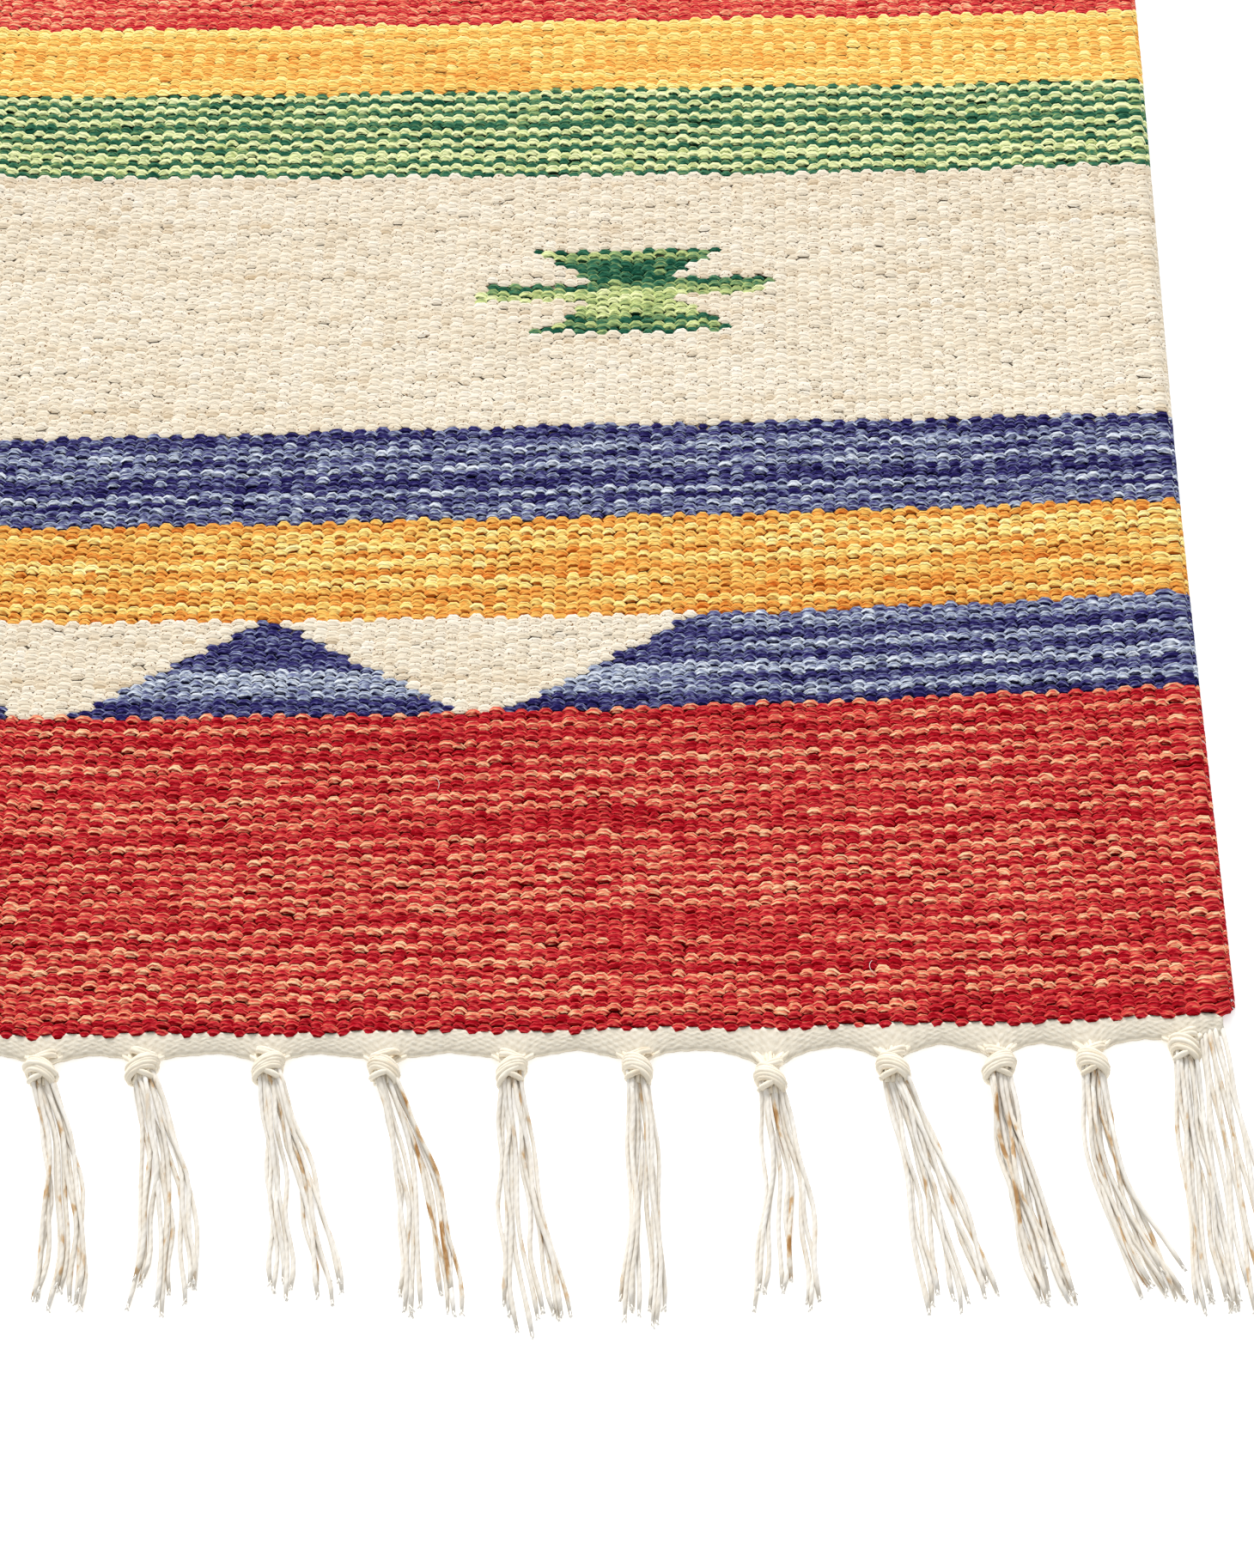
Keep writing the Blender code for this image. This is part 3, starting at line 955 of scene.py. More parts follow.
    def flecked(self, tree: bpy.types.NodeTree, colour: bpy.types.NodeSocket) -> bpy.types.NodeSocket:
        """Adds the small brown seed flecks of undyed cotton to a colour.

        Args:
            tree: the material's nodes.
            colour: the output that gives the yarn's colour.

        Returns:
            The output that gives the colour with its flecks.
        """
        place = add_node(tree, "TexCoord").outputs["Object"]
        specks = add_node(
            tree, "TexNoise", {"Vector": place, "Scale": 1 / (self.fleck_size * METRES), "Detail": 1.0}
        )
        # The noise seldom passes 0.78, so flecks start there, and lower where there are more of them.
        start = 0.78 - 0.2 * self.fleck
        amount = add_node(tree, "MapRange", {"Value": specks, "From Min": start, "From Max": start + 0.05})
        mixed = add_node(
            tree, "Mix", {"Factor": amount, 6: colour, 7: linear(self.fleck_colour)}, data_type="RGBA"
        )
        return mixed.outputs[2]


# Each finish's third entry is the hex colour of its painted crevice shade.
WEFT_FINISHES = {
    Yarn.RED: WeftFinish(
        "red cotton weft",
        ((0.0, "#a20e1c"), (0.25, "#cc2e3a"), (0.5, "#e0584e"), (0.75, "#f09a74"), (1.0, "#fdd0a4")),
        "#7c0408",
        fibre_contrast=1.4,
        painted_shade_width=0.42,
        ply_painted_light=0.16,
        ply_depth=0.22,
    ),
    Yarn.YELLOW: WeftFinish(
        "golden cotton weft",
        ((0.0, "#cc5f1e"), (0.25, "#ea9844"), (0.5, "#f4bf62"), (0.75, "#fbdf84"), (1.0, "#fff5b0")),
        "#a04a10",
        fibre_contrast=0.8,
        painted_shade_width=0.46,
        ply_painted_light=0.05,
    ),
    Yarn.BLUE: WeftFinish(
        "indigo cotton weft",
        ((0.0, "#241e56"), (0.25, "#4a457e"), (0.5, "#7a80a6"), (0.75, "#adb8cc"), (1.0, "#e2e8f2")),
        "#0e0c30",
        fibre_contrast=1.45,
        painted_shade_width=0.6,
        ply_painted_light=0.12,
    ),
    Yarn.GREEN: WeftFinish(
        "green cotton weft",
        ((0.0, "#174c3b"), (0.25, "#3c755a"), (0.5, "#8faa70"), (0.75, "#c8d48a"), (1.0, "#eff4bc")),
        "#163c28",
        fibre_contrast=0.7,
        ply_painted_light=0.05,
    ),
    Yarn.CREAM: WeftFinish(
        "undyed cotton weft",
        ((0.0, "#c0a680"), (0.25, "#d7c5aa"), (0.5, "#e4d7c0"), (0.75, "#ebe1cf"), (1.0, "#f2ebde")),
        "#c8a278",
        fleck=0.6,
        fuzz=0.5,
        fibre_contrast=0.5,
        painted_shade_width=0.24,
        ragged=1.5,
        ply_painted_light=0.03,
        relief=0.12,
    ),
}


@dataclass(frozen=True)
class GroundFinish:
    """The cloth between the grains, tinted with the yarns' painted crevice shade, and the rug's underside.

    Its underside shows a grain at each crossing, by relief and by painted shade in its hollows and painted
    highlight on its crests.

    Attributes:
        name: the material's name.
        warp_pitch: millimetres from one warp to the next.
        pick_pitch: millimetres from one pick to the next.
        relief: height of the relief, in millimetres.
        fuzz_size: size of the tufts of fibre, drawn coarser than real ones so that they show.
        fuzz_height: their share of the relief.
        deepest_painted_shade: painted shade, how light the deepest places of the relief are made.
        highest: the highest that the relief rises, which is also how light its painted highlight makes it
            there.
        roughness: the shader's roughness.
    """

    name: str = "woven cotton ground"
    warp_pitch: float = 3.135
    pick_pitch: float = 1.18
    relief: float = 0.5
    fuzz_size: float = 0.4
    fuzz_height: float = 0.3
    deepest_painted_shade: float = 0.5
    highest: float = 1.2
    roughness: float = 0.95

    def material(self) -> bpy.types.Material:
        """Makes the finish, which reads the cloth's tint and its map in millimetres.

        Returns:
            The material.
        """
        material, tree = blank_material(self.name)
        tint = add_node(tree, "Attribute", attribute_name="tint")
        cloth = add_node(tree, "UVMap", uv_map="cloth")
        grain = woven_waves(tree, cloth, self.warp_pitch, self.pick_pitch)
        crest = add_node(tree, "Math", {0: grain, 1: 0.0}, operation="MAXIMUM")
        fuzz = add_node(
            tree, "TexNoise", {"Vector": cloth, "Scale": 1 / self.fuzz_size, "Detail": 3.0},
            noise_dimensions="2D",
        )
        relief = add_node(
            tree, "Math", {0: fuzz, 1: self.fuzz_height, 2: crest}, operation="MULTIPLY_ADD"
        )
        # Painted light: the colour darkens in the relief's hollows and lightens on its crests.
        lights = {"From Max": self.highest, "To Min": self.deepest_painted_shade, "To Max": self.highest}
        light = add_node(tree, "MapRange", {"Value": relief, **lights})
        colour = add_node(tree, "VectorMath", {0: tint, "Scale": light}, operation="SCALE")
        matt_surface(tree, colour, self.roughness, relief, self.relief, strength=0.9)
        return material


@dataclass(frozen=True)
class WarpFinish:
    """Undyed cotton warp, twisted of two plies: smooth and matt, cream with tan streaks of husk.

    Attributes:
        name: the material's name.
        colours: places from 0 to 1 and hex colours, from husk to clean cotton.
        streak_length: length of a streak of husk, in millimetres.
        streak_width: its width, in turns round the strand.
        streak_reach: how far the streaks move the shade.
        twist_length: length of one turn of the plies, in millimetres.
        plies: number of plies.
        relief: height of the plies, in millimetres.
        roughness: the shader's roughness.
    """

    name: str
    colours: tuple[tuple[float, str], ...] = (
        (0.0, "#a2774a"),
        (0.15, "#c8aa84"),
        (0.3, "#dfd7c9"),
        (1.0, "#edeae4"),
    )
    streak_length: float = 8.0
    streak_width: float = 0.9
    streak_reach: float = 0.32
    twist_length: float = 2.6
    plies: int = 2
    relief: float = 0.035
    roughness: float = 1.0

    def material(self) -> bpy.types.Material:
        """Makes the finish, which reads the strand's own map: millimetres along it, and turns round it.

        Returns:
            The material.
        """
        material, tree = blank_material(self.name)
        strand = add_node(tree, "UVMap", uv_map="strand")
        shade = add_node(tree, "Attribute", attribute_name="shade").outputs["Fac"]
        scale = (1 / self.streak_length, 1 / self.streak_width, 1.0)
        stretched = add_node(tree, "VectorMath", {0: strand, 1: scale}, operation="MULTIPLY")
        husk = add_node(
            tree, "TexNoise", {"Vector": stretched, "Scale": 1.0, "Detail": 4.0}, noise_dimensions="2D"
        )
        reach = self.streak_reach
        spread = add_node(
            tree, "MapRange",
            {"Value": husk, "From Min": 0.3, "From Max": 0.7, "To Min": -reach, "To Max": reach},
        )
        level = add_node(tree, "Math", {0: spread, 1: shade}, operation="ADD")
        dye = add_node(tree, "ValToRGB", {0: level}, stops=self.colours)
        lay = (2 * math.pi / self.twist_length, 2 * math.pi * self.plies, 0.0)
        turns = add_node(tree, "VectorMath", {0: strand, 1: lay}, operation="DOT_PRODUCT").outputs["Value"]
        twist = add_node(tree, "Math", {0: turns}, operation="SINE")
        matt_surface(tree, dye, self.roughness, twist, self.relief)
        return material


# Warps packed in a knot hide their husk, and their colours are painted lighter and warmer, painted light
# that stands in for the light passing from strand to strand.
KNOT_COLOURS_WITH_PAINTED_LIGHT = ((0.0, "#cdb48e"), (0.15, "#dccbb0"), (0.3, "#eadfca"), (1.0, "#f5eddc"))
# Loose fibres are the cotton's own white made lighter still, painted light that lifts the shade they lie in
# among the strands' tips.
FLUFF_COLOURS_WITH_PAINTED_LIGHT = ((0.0, "#e6dac4"), (0.3, "#f2ebde"), (1.0, "#fdfaf4"))


@dataclass(frozen=True)
class HeadingFinish:
    """Plain weave of undyed cotton, packed close: a matt cream web with soft mottling and fine ribs.

    Attributes:
        name: the material's name.
        colours: places from 0 to 1 and hex colours, from the gaps to the ribs' crests, darker in the gaps as
            painted shade and lighter on the crests as painted highlight.
        warp_pitch: millimetres from one warp to the next.
        pick_pitch: millimetres from one pick to the next.
        rib_painted_light: how far the ribs move the shade, as painted light that follows their relief.
        relief: height of the relief, in millimetres.
        mottle: size of the mottling, in millimetres.
        roughness: the shader's roughness.
    """

    name: str = "undyed cotton heading"
    colours: tuple[tuple[float, str], ...] = (
        (0.0, "#d0c6b2"),
        (0.35, "#dcd3c1"),
        (0.6, "#e2dac9"),
        (1.0, "#e9e3d5"),
    )
    warp_pitch: float = 1.57
    pick_pitch: float = 0.9
    rib_painted_light: float = 0.24
    relief: float = 0.22
    mottle: float = 1.1
    roughness: float = 0.9

    def material(self) -> bpy.types.Material:
        """Makes the finish, which reads the heading's map in millimetres.

        Returns:
            The material.
        """
        material, tree = blank_material(self.name)
        web = add_node(tree, "UVMap", uv_map="web")
        ribs = woven_waves(tree, web, self.warp_pitch, self.pick_pitch)
        cloudy = add_node(
            tree, "TexNoise", {"Vector": web, "Scale": 1 / self.mottle, "Detail": 4.0},
            noise_dimensions="2D",
        )
        # Painted light: the ribs lighten the colour on their crests and darken it in their gaps.
        level = add_node(
            tree, "Math", {0: ribs, 1: self.rib_painted_light, 2: cloudy}, operation="MULTIPLY_ADD"
        )
        dye = add_node(tree, "ValToRGB", {0: level}, stops=self.colours)
        matt_surface(tree, dye, self.roughness, level, self.relief)
        return material


def unit_slab(columns: int, rows: int) -> Template:
    """A closed slab of cells, one unit to each side of its middle, with its top at 0 and its back at -1.

    Args:
        columns: cells across it.
        rows: cells along it.

    Returns:
        The slab.
    """
    shape = bmesh.new()
    bmesh.ops.create_grid(shape, x_segments=columns, y_segments=rows, size=1.0)
    bmesh.ops.solidify(shape, geom=shape.faces[:], thickness=1.0)
    top = max(vertex.co.z for vertex in shape.verts)
    bmesh.ops.translate(shape, verts=shape.verts[:], vec=(0.0, 0.0, -top))
    bmesh.ops.recalc_face_normals(shape, faces=shape.faces[:])
    return Template.of(shape)


@dataclass
class GroundCloth:
    """The body of the cloth, which closes the weave between the grains and makes the rug's underside.

    Attributes:
        weave: the chart that colours it.
        columns: cells across it.
        rows: cells along it.
        below_face: how far its top lies below the cloth's face.
        painted_crevice_shade: how light the painted shade is between the grains.
    """

    weave: Weave
    columns: int = 72
    rows: int = 200
    below_face: float = 1.05
    painted_crevice_shade: float = 0.75

    def build(self, pieces: Sequence[bpy.types.Object]) -> bpy.types.Object:
        """Makes the cloth.

        Args:
            pieces: what is woven or knotted on it; not used.

        Returns:
            The cloth.
        """
        lie = self.weave.lie
        slab = unit_slab(self.columns, self.rows)
        across = slab.points[:, 0] * lie.half_width
        along = slab.points[:, 1] * lie.half_length
        is_top = slab.points[:, 2] > TOP_ABOVE
        x, y = lie.place(across, along)
        top = lie.height(across, along) - self.below_face
        places = np.stack([x, y, np.where(is_top, top, 0.0)], axis=-1)
        cloth = slab.repeated("ground_cloth", places[None], GroundFinish().material())
        slab.map_faces(cloth, "cloth", across[slab.corners][None], along[slab.corners][None])
        self.tint(cloth, slab)
        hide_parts("kilim_cloth")
        return cloth

    def tint(self, cloth: bpy.types.Object, slab: Template) -> None:
        """Colours each face from the chart: with painted shade between the grains above, and as the weft
        below.

        Args:
            cloth: the finished cloth.
            slab: the slab that it was made from.
        """
        weave = self.weave
        first = np.cumsum(slab.sizes) - slab.sizes
        middles = np.add.reduceat(slab.points[slab.corners], first) / slab.sizes[:, None]
        warp = np.searchsorted(weave.warp_x[1:-1], middles[:, 0] * weave.lie.half_width)
        warp = warp.clip(0, weave.warps - 1) + 1
        pick = np.searchsorted(weave.pick_y, middles[:, 1] * weave.lie.half_length)
        pick = pick.clip(0, len(weave.pick_y) - 1)
        levels = weave.shades[pick, warp]
        yarns = weave.yarns[pick, warp]
        tints = np.ones((len(middles), 4))
        for yarn, finish in WEFT_FINISHES.items():
            stops = [place for place, _ in finish.colours]
            colours = np.array([linear(colour) for _, colour in finish.colours])
            used = yarns == yarn.value
            for channel in range(3):
                tints[used, channel] = np.interp(levels[used], stops, colours[:, channel])

        # Painted shade: the top between the grains takes each yarn's painted crevice shade colour, less
        # where fibres fill the crevices.
        above = middles[:, 2] > TOP_ABOVE
        painted_shade_colours = np.array([linear(WEFT_FINISHES[yarn].painted_crevice_shade)[:3] for yarn in Yarn])
        painted_shade_share = np.array([1 - WEFT_FINISHES[yarn].fuzz for yarn in Yarn])[yarns]
        painted_shade_share = np.minimum(painted_shade_share, 1 - weave.band_fuzz()[weave.pick_band[pick]])
        painted_shade = self.painted_crevice_shade * painted_shade_colours[yarns[above]]
        tints[above, :3] += painted_shade_share[above, None] * (painted_shade - tints[above, :3])
        layer = cloth.data.attributes.new("tint", "FLOAT_COLOR", "FACE")
        layer.data.foreach_set("color", tints.astype(np.float32).ravel())


@dataclass
class WeftFace:
    """The grains of weft on the rug's face: one at each crossing where the weft passes over a warp.

    Attributes:
        weave: the chart of the cloth.
        crest: half the length of a grain's crest.
        shoulder: half its length at its sides.
        tip: half its whole length.
        half_width: half its width.
        shoulder_drop: how far its sides lie below its crest.
        tip_drop: how far its tips do.
        above_face: how far the crest lies above the cloth's face.
        far_painted_highlight: painted highlight, how much lighter its far side is made, which the low light
            from behind reaches.
        near_painted_shade: painted shade, how much darker its near side is made.
        light_rise: how much higher the lightest grains stand than the darkest.
        usual_shade: the shade that stands no higher or lower.
        tip_free_of_painted_shade: how far its tips stay free of the painted crevice shade.
        flattening: share of a grain's drop that full fuzz takes away.
        filling: how much wider full fuzz makes it.
        lowest: the lowest that a grain reaches above the floor.
        shift: spread of the grains' places.
        lift: spread of their heights.
        turn: spread of their turns.
        stretch: spread of their sizes.
        map_reach: length of yarn that the grains' maps start from.
        seed: of these differences.
    """

    weave: Weave
    crest: float = 0.6
    shoulder: float = 0.85
    tip: float = 2.7
    half_width: float = 1.34
    shoulder_drop: float = 1.1
    tip_drop: float = 1.8
    above_face: float = 0.4
    far_painted_highlight: float = 0.26
    near_painted_shade: float = 0.12
    light_rise: float = 0.35
    usual_shade: float = 0.4
    tip_free_of_painted_shade: float = 0.4
    flattening: float = 0.55
    filling: float = 0.16
    lowest: float = 0.1
    shift: float = 0.13
    lift: float = 0.14
    turn: float = 0.06
    stretch: float = 0.09
    map_reach: float = 500.0
    seed: int = 411

    def grain(self) -> Template:
        """One grain: a pillow that tapers to a point at each end, where the weft dips under.

        Returns:
            The grain, with its crest at 0 and its length along X.
        """
        shape = bmesh.new()
        bmesh.ops.create_grid(shape, x_segments=3, y_segments=2, size=1.0)
        for vertex in shape.verts:
            at_tip = abs(vertex.co.x) > 0.9
            at_crest = abs(vertex.co.y) < 0.1
            along = self.tip if at_tip else (self.crest if at_crest else self.shoulder)
            across = 0.0 if at_tip or at_crest else self.half_width
            drop = self.tip_drop if at_tip else (0.0 if at_crest else self.shoulder_drop)
            x = math.copysign(along, vertex.co.x)
            vertex.co = Vector((x, math.copysign(across, vertex.co.y), -drop))
        bmesh.ops.remove_doubles(shape, verts=shape.verts[:], dist=0.01)
        bmesh.ops.recalc_face_normals(shape, faces=shape.faces[:])
        if sum(face.normal.z for face in shape.faces) < 0:
            bmesh.ops.reverse_faces(shape, faces=shape.faces[:])
        return Template.of(shape)

    def build(self) -> list[bpy.types.Object]:
        """Makes a piece of grains for each yarn, with the red one split between the ends and the middle.

        Returns:
            The pieces.
        """
        weave = self.weave
        picks, warps = np.indices(weave.yarns.shape)
        faces_up = (picks + warps) % 2 == 0
        middle_band = len(weave.bands) - 1
        in_middle = np.broadcast_to((weave.pick_band == middle_band)[:, None], faces_up.shape)
        anywhere = np.ones_like(faces_up)
        groups = {
            "red_end_grains": (Yarn.RED, ~in_middle),
            "red_middle_grains": (Yarn.RED, in_middle),
            "golden_grains": (Yarn.YELLOW, anywhere),
            "indigo_grains": (Yarn.BLUE, anywhere),
            "green_grains": (Yarn.GREEN, anywhere),
            "cream_grains": (Yarn.CREAM, anywhere),
        }
        finishes = {yarn: finish.material() for yarn, finish in WEFT_FINISHES.items()}
        chance = np.random.default_rng(self.seed)
        template = self.grain()
        made = []
        for name, (yarn, where) in groups.items():
            pick, warp = np.nonzero((weave.yarns == yarn.value) & where & faces_up)
            fuzz = np.maximum(weave.band_fuzz()[weave.pick_band[pick]], WEFT_FINISHES[yarn].fuzz)
            made.append(self.grains(name, template, pick, warp, fuzz, finishes[yarn], chance))
        return made

    def grains(
        self,
        name: str,
        template: Template,
        pick: np.ndarray,
        warp: np.ndarray,
        fuzz: np.ndarray,
        material: bpy.types.Material,
        chance: np.random.Generator,
    ) -> bpy.types.Object:
        """Lays a grain at each of these crossings.

        Args:
            name: the piece's name.
            template: the shape of one grain.
            pick: each crossing's pick.
            warp: each crossing's warp.
            fuzz: how far fibres fill the crevices there, which also flattens the grains.
            material: the yarn's finish.
            chance: the seeded source of the small differences between grains.

        Returns:
            The piece.
        """
        weave = self.weave
        lie = weave.lie
        count = len(pick)
        along_yarn, over_yarn, drop = template.points.T
        # Each draw gives one difference a grain, in this order: length, width, turn, X, Y, height, map.
        longer = weave.warp_width[warp] / np.median(weave.warp_width)
        longer = (longer * (1 + self.stretch * chance.standard_normal(count)))[:, None]
        wider = weave.pick_width[pick] / np.median(weave.pick_width)
        wider = (wider * (1 + self.stretch * chance.standard_normal(count)))[:, None]
        wider = wider * (1 + self.filling * fuzz)[:, None]
        turned = self.turn * chance.standard_normal(count)[:, None]
        middle_x = weave.warp_x[warp] + self.shift * chance.standard_normal(count)
        middle_y = weave.pick_y[pick] + self.shift * chance.standard_normal(count)
        across = middle_x[:, None] + along_yarn[None] * longer
        along = middle_y[:, None] + over_yarn[None] * wider + turned * along_yarn[None]
        x, y = lie.place(across, along)

        shade = weave.shades[pick, warp][:, None]
        rise = self.above_face + self.lift * chance.standard_normal(count)[:, None]
        rise = rise + self.light_rise * (shade - self.usual_shade)
        face = lie.height(middle_x.clip(-lie.roll_start, lie.roll_start)[:, None], middle_y[:, None])
        _, rolled = lie.rolled(across)
        dip = drop[None] * (1 - self.flattening * fuzz)[:, None]
        z = np.maximum(face + rise + dip - rolled, self.lowest)
        piece = template.repeated(name, np.stack([x, y, z], axis=-1), material)

        # Painted light: each grain's far side is made lighter and its near side darker, and both go into its
        # shade.
        painted_side_light = np.where(over_yarn > 0, self.far_painted_highlight, self.near_painted_shade) * over_yarn / self.half_width
        # Where the painted crevice shade falls: none on the crest, most down the sides, some at the tips,
        # and less where fibres fill the crevices.
        at_tip = drop < -self.shoulder_drop
        over_warp = np.where(np.abs(over_yarn) > 0, 0.0, np.where(at_tip, self.tip_free_of_painted_shade, 1.0))
        add_levels(piece, "shade", shade + painted_side_light[None])
        add_levels(piece, "free_of_painted_shade", np.maximum(over_warp[None], fuzz[:, None]))
        start = chance.uniform(0, self.map_reach, (count, 1))
        yarn_x, yarn_y = (place[template.corners][None] for place in (along_yarn, over_yarn))
        template.map_faces(piece, "yarn", start + yarn_x, yarn_y + start)
        return piece


@dataclass(frozen=True)
class Tassel:
    """One knotted tassel.

    Attributes:
        across: its place on the near end's layout.
        drop: from the cloth's end to the middle of its knot.
        lean: how far its tips lie to the right of its knot.
        spread: from its first tip to its last.
        reach: from the cloth's end to its tips.
        bend: sideways bow of its strands.
    """

    across: float
    drop: float
    lean: float
    spread: float
    reach: float
    bend: float


TASSELS = (
    Tassel(-290.0, 11.0, 3.0, 9.5, 79.0, 2.0),
    Tassel(-263.0, 13.0, 9.0, 10.5, 77.0, -3.0),
    Tassel(-235.5, 12.0, 8.0, 14.0, 80.0, 1.5),
    Tassel(-208.5, 12.5, 3.0, 12.0, 76.0, 2.0),
    Tassel(-181.5, 11.0, 4.0, 15.0, 78.0, -1.5),
    Tassel(-154.0, 10.5, 10.0, 9.5, 81.0, 3.0),
    Tassel(-126.5, 11.5, 11.0, 13.5, 75.0, 1.5),
    Tassel(-99.0, 10.0, 7.0, 16.0, 78.0, 0.0),
    Tassel(-72.0, 11.0, 5.0, 10.5, 80.0, -2.5),
    Tassel(-44.5, 10.0, 12.0, 14.0, 76.0, 3.0),
    Tassel(-17.0, 10.5, 9.0, 12.5, 77.0, 2.0),
    Tassel(11.0, 11.0, 10.0, 11.4, 75.5, 3.5),
    Tassel(35.5, 9.8, 10.0, 15.0, 74.0, 3.0),
    Tassel(66.0, 9.8, 13.0, 17.5, 73.0, 1.0),
    Tassel(94.0, 10.5, 14.0, 15.6, 77.0, 3.0),
    Tassel(125.0, 11.3, 8.0, 14.0, 82.0, -1.0),
    Tassel(155.4, 11.5, 2.0, 9.5, 80.0, 1.0),
    Tassel(187.5, 15.5, 3.0, 15.0, 77.0, 2.0),
    Tassel(217.3, 13.0, 14.0, 15.5, 79.0, 1.0),
    Tassel(243.0, 13.5, 11.0, 9.5, 80.0, -1.5),
    Tassel(265.8, 13.6, 13.0, 9.5, 78.0, -4.0),
    Tassel(288.3, 10.3, 3.0, 9.5, 82.0, -0.5),
)


def turned_for(end: End, points: np.ndarray) -> np.ndarray:
    """Points of the near end's layout, as they are or turned half round for the far end."""
    return points if end is End.NEAR else points * np.array([-1.0, -1.0, 1.0])


@dataclass
class Heading:
    """The narrow cream web that ends the cloth: its free edge hangs in arches between the knots.

    Attributes:
        lie: how the cloth lies.
        end: which end it is at.
        columns: cells across it.
        rows: cells along it.
        end_inset: how far its ends lie inside the selvedges.
        under_cloth: how far it reaches under the cloth.
        arch: its depth between knots.
        knot_sag: the least that it hangs deeper at a knot.
        knot_room: how far its edge stays short of a knot's middle.
        sag_width: distance over which it sags to a knot.
        root_height: height of its top at the cloth.
        rim_height: height of its top at its free edge.
        thickness: of the web.
        rib: height of the ribs over its warps.
        rib_pitch: from warp to warp.
        slack: unevenness of its free edge.
        slack_lengths: the two lengths that the unevenness is made of.
        gather: share of the way that a knot draws the warps beside it.
        gather_width: distance over which it draws them.
        map_depth: depth of its map, in millimetres.
    """

    lie: ClothLie
    end: End
    columns: int = 700
    rows: int = 9
    end_inset: float = 1.5
    under_cloth: float = 0.5
    arch: float = 3.9
    knot_sag: float = 4.0
    knot_room: float = 1.2
    sag_width: float = 7.0
    root_height: float = 2.6
    rim_height: float = 1.3
    thickness: float = 1.0
    rib: float = 0.17
    rib_pitch: float = 3.135
    slack: float = 0.35
    slack_lengths: tuple[float, float] = (2.3, 7.1)
    gather: float = 0.3
    gather_width: float = 7.0
    map_depth: float = 8.0

    def depth(self, across: np.ndarray) -> np.ndarray:
        """How far the free edge lies beyond the cloth's end.

        Args:
            across: X of places along the edge.

        Returns:
            The distance at each place.
        """
        reach = np.full_like(across, self.arch)
        for tassel in TASSELS:
            near = np.exp(-np.abs(across - tassel.across) / self.sag_width)
            deeper = max(self.knot_sag, tassel.drop - self.arch - self.knot_room)
            reach = np.maximum(reach, self.arch + deeper * near)
        short, long = self.slack_lengths
        return reach + self.slack * np.sin(across / short) * np.sin(across / long)

    def build(self, material: bpy.types.Material) -> bpy.types.Object:
        """Makes the web as one closed slab.

        Args:
            material: its finish.

        Returns:
            The web.
        """
        lie = self.lie
        label = self.end.name.lower()
        slab = unit_slab(self.columns, self.rows)
        across = slab.points[:, 0] * (lie.half_width - self.end_inset)
        outward = (1 - slab.points[:, 1]) / 2
        is_top = slab.points[:, 2] > TOP_ABOVE
        distance = -self.under_cloth + (self.depth(across) + self.under_cloth) * outward
        side = self.end.value
        ripple = lie.rippled(-side * across, np.full_like(across, side * lie.half_length)) * -side
        y = lie.beyond(across, self.end, distance) + ripple * (1 - outward)
        drawn = self.draw_to_knots(across, outward)
        ribs = self.rib * np.cos(2 * math.pi * across / self.rib_pitch) * smooth_step(outward * 3)
        top = self.root_height + (self.rim_height - self.root_height) * outward**2 + ribs
        z = np.where(is_top, top, np.maximum(top - self.thickness, 0.0))
        places = turned_for(self.end, np.stack([drawn, y, z], axis=-1))
        web = slab.repeated(f"heading_web_{label}", places[None], material)
        map_y = outward * self.map_depth
        slab.map_faces(web, "web", across[slab.corners][None], map_y[slab.corners][None])
        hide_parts(f"heading_{label}")
        return web

    def draw_to_knots(self, across: np.ndarray, outward: np.ndarray) -> np.ndarray:
        """Gathers the free edge's warps towards the knot that holds them.

        Args:
            across: X of the places.
            outward: how far out they lie, from 0 at the cloth to 1 at the free edge.

        Returns:
            X of the gathered places.
        """
        drawn = across.copy()
        for tassel in TASSELS:
            apart = across - tassel.across
            pull = self.gather * np.exp(-((apart / self.gather_width) ** 2))
            drawn -= apart * pull * outward**2
        return drawn


def unit_straw(sides: int, spans: int) -> Template:
    """A closed straight tube of radius 1, whose rings stand at the heights 0, 1, 2 and so on.

    Args:
        sides: sides of the tube.
        spans: number of spans between its rings.

    Returns:
        The tube.
    """
    shape = bmesh.new()
    bmesh.ops.create_cone(
        shape, cap_ends=True, segments=sides, radius1=1.0, radius2=1.0, depth=spans,
        matrix=Matrix.Translation((0.0, 0.0, spans / 2)),
    )
    long_edges = [e for e in shape.edges if abs(e.verts[0].co.z - e.verts[1].co.z) > spans / 2]
    bmesh.ops.subdivide_edges(shape, edges=long_edges, cuts=spans - 1)
    bmesh.ops.recalc_face_normals(shape, faces=shape.faces[:])
    return Template.of(shape)


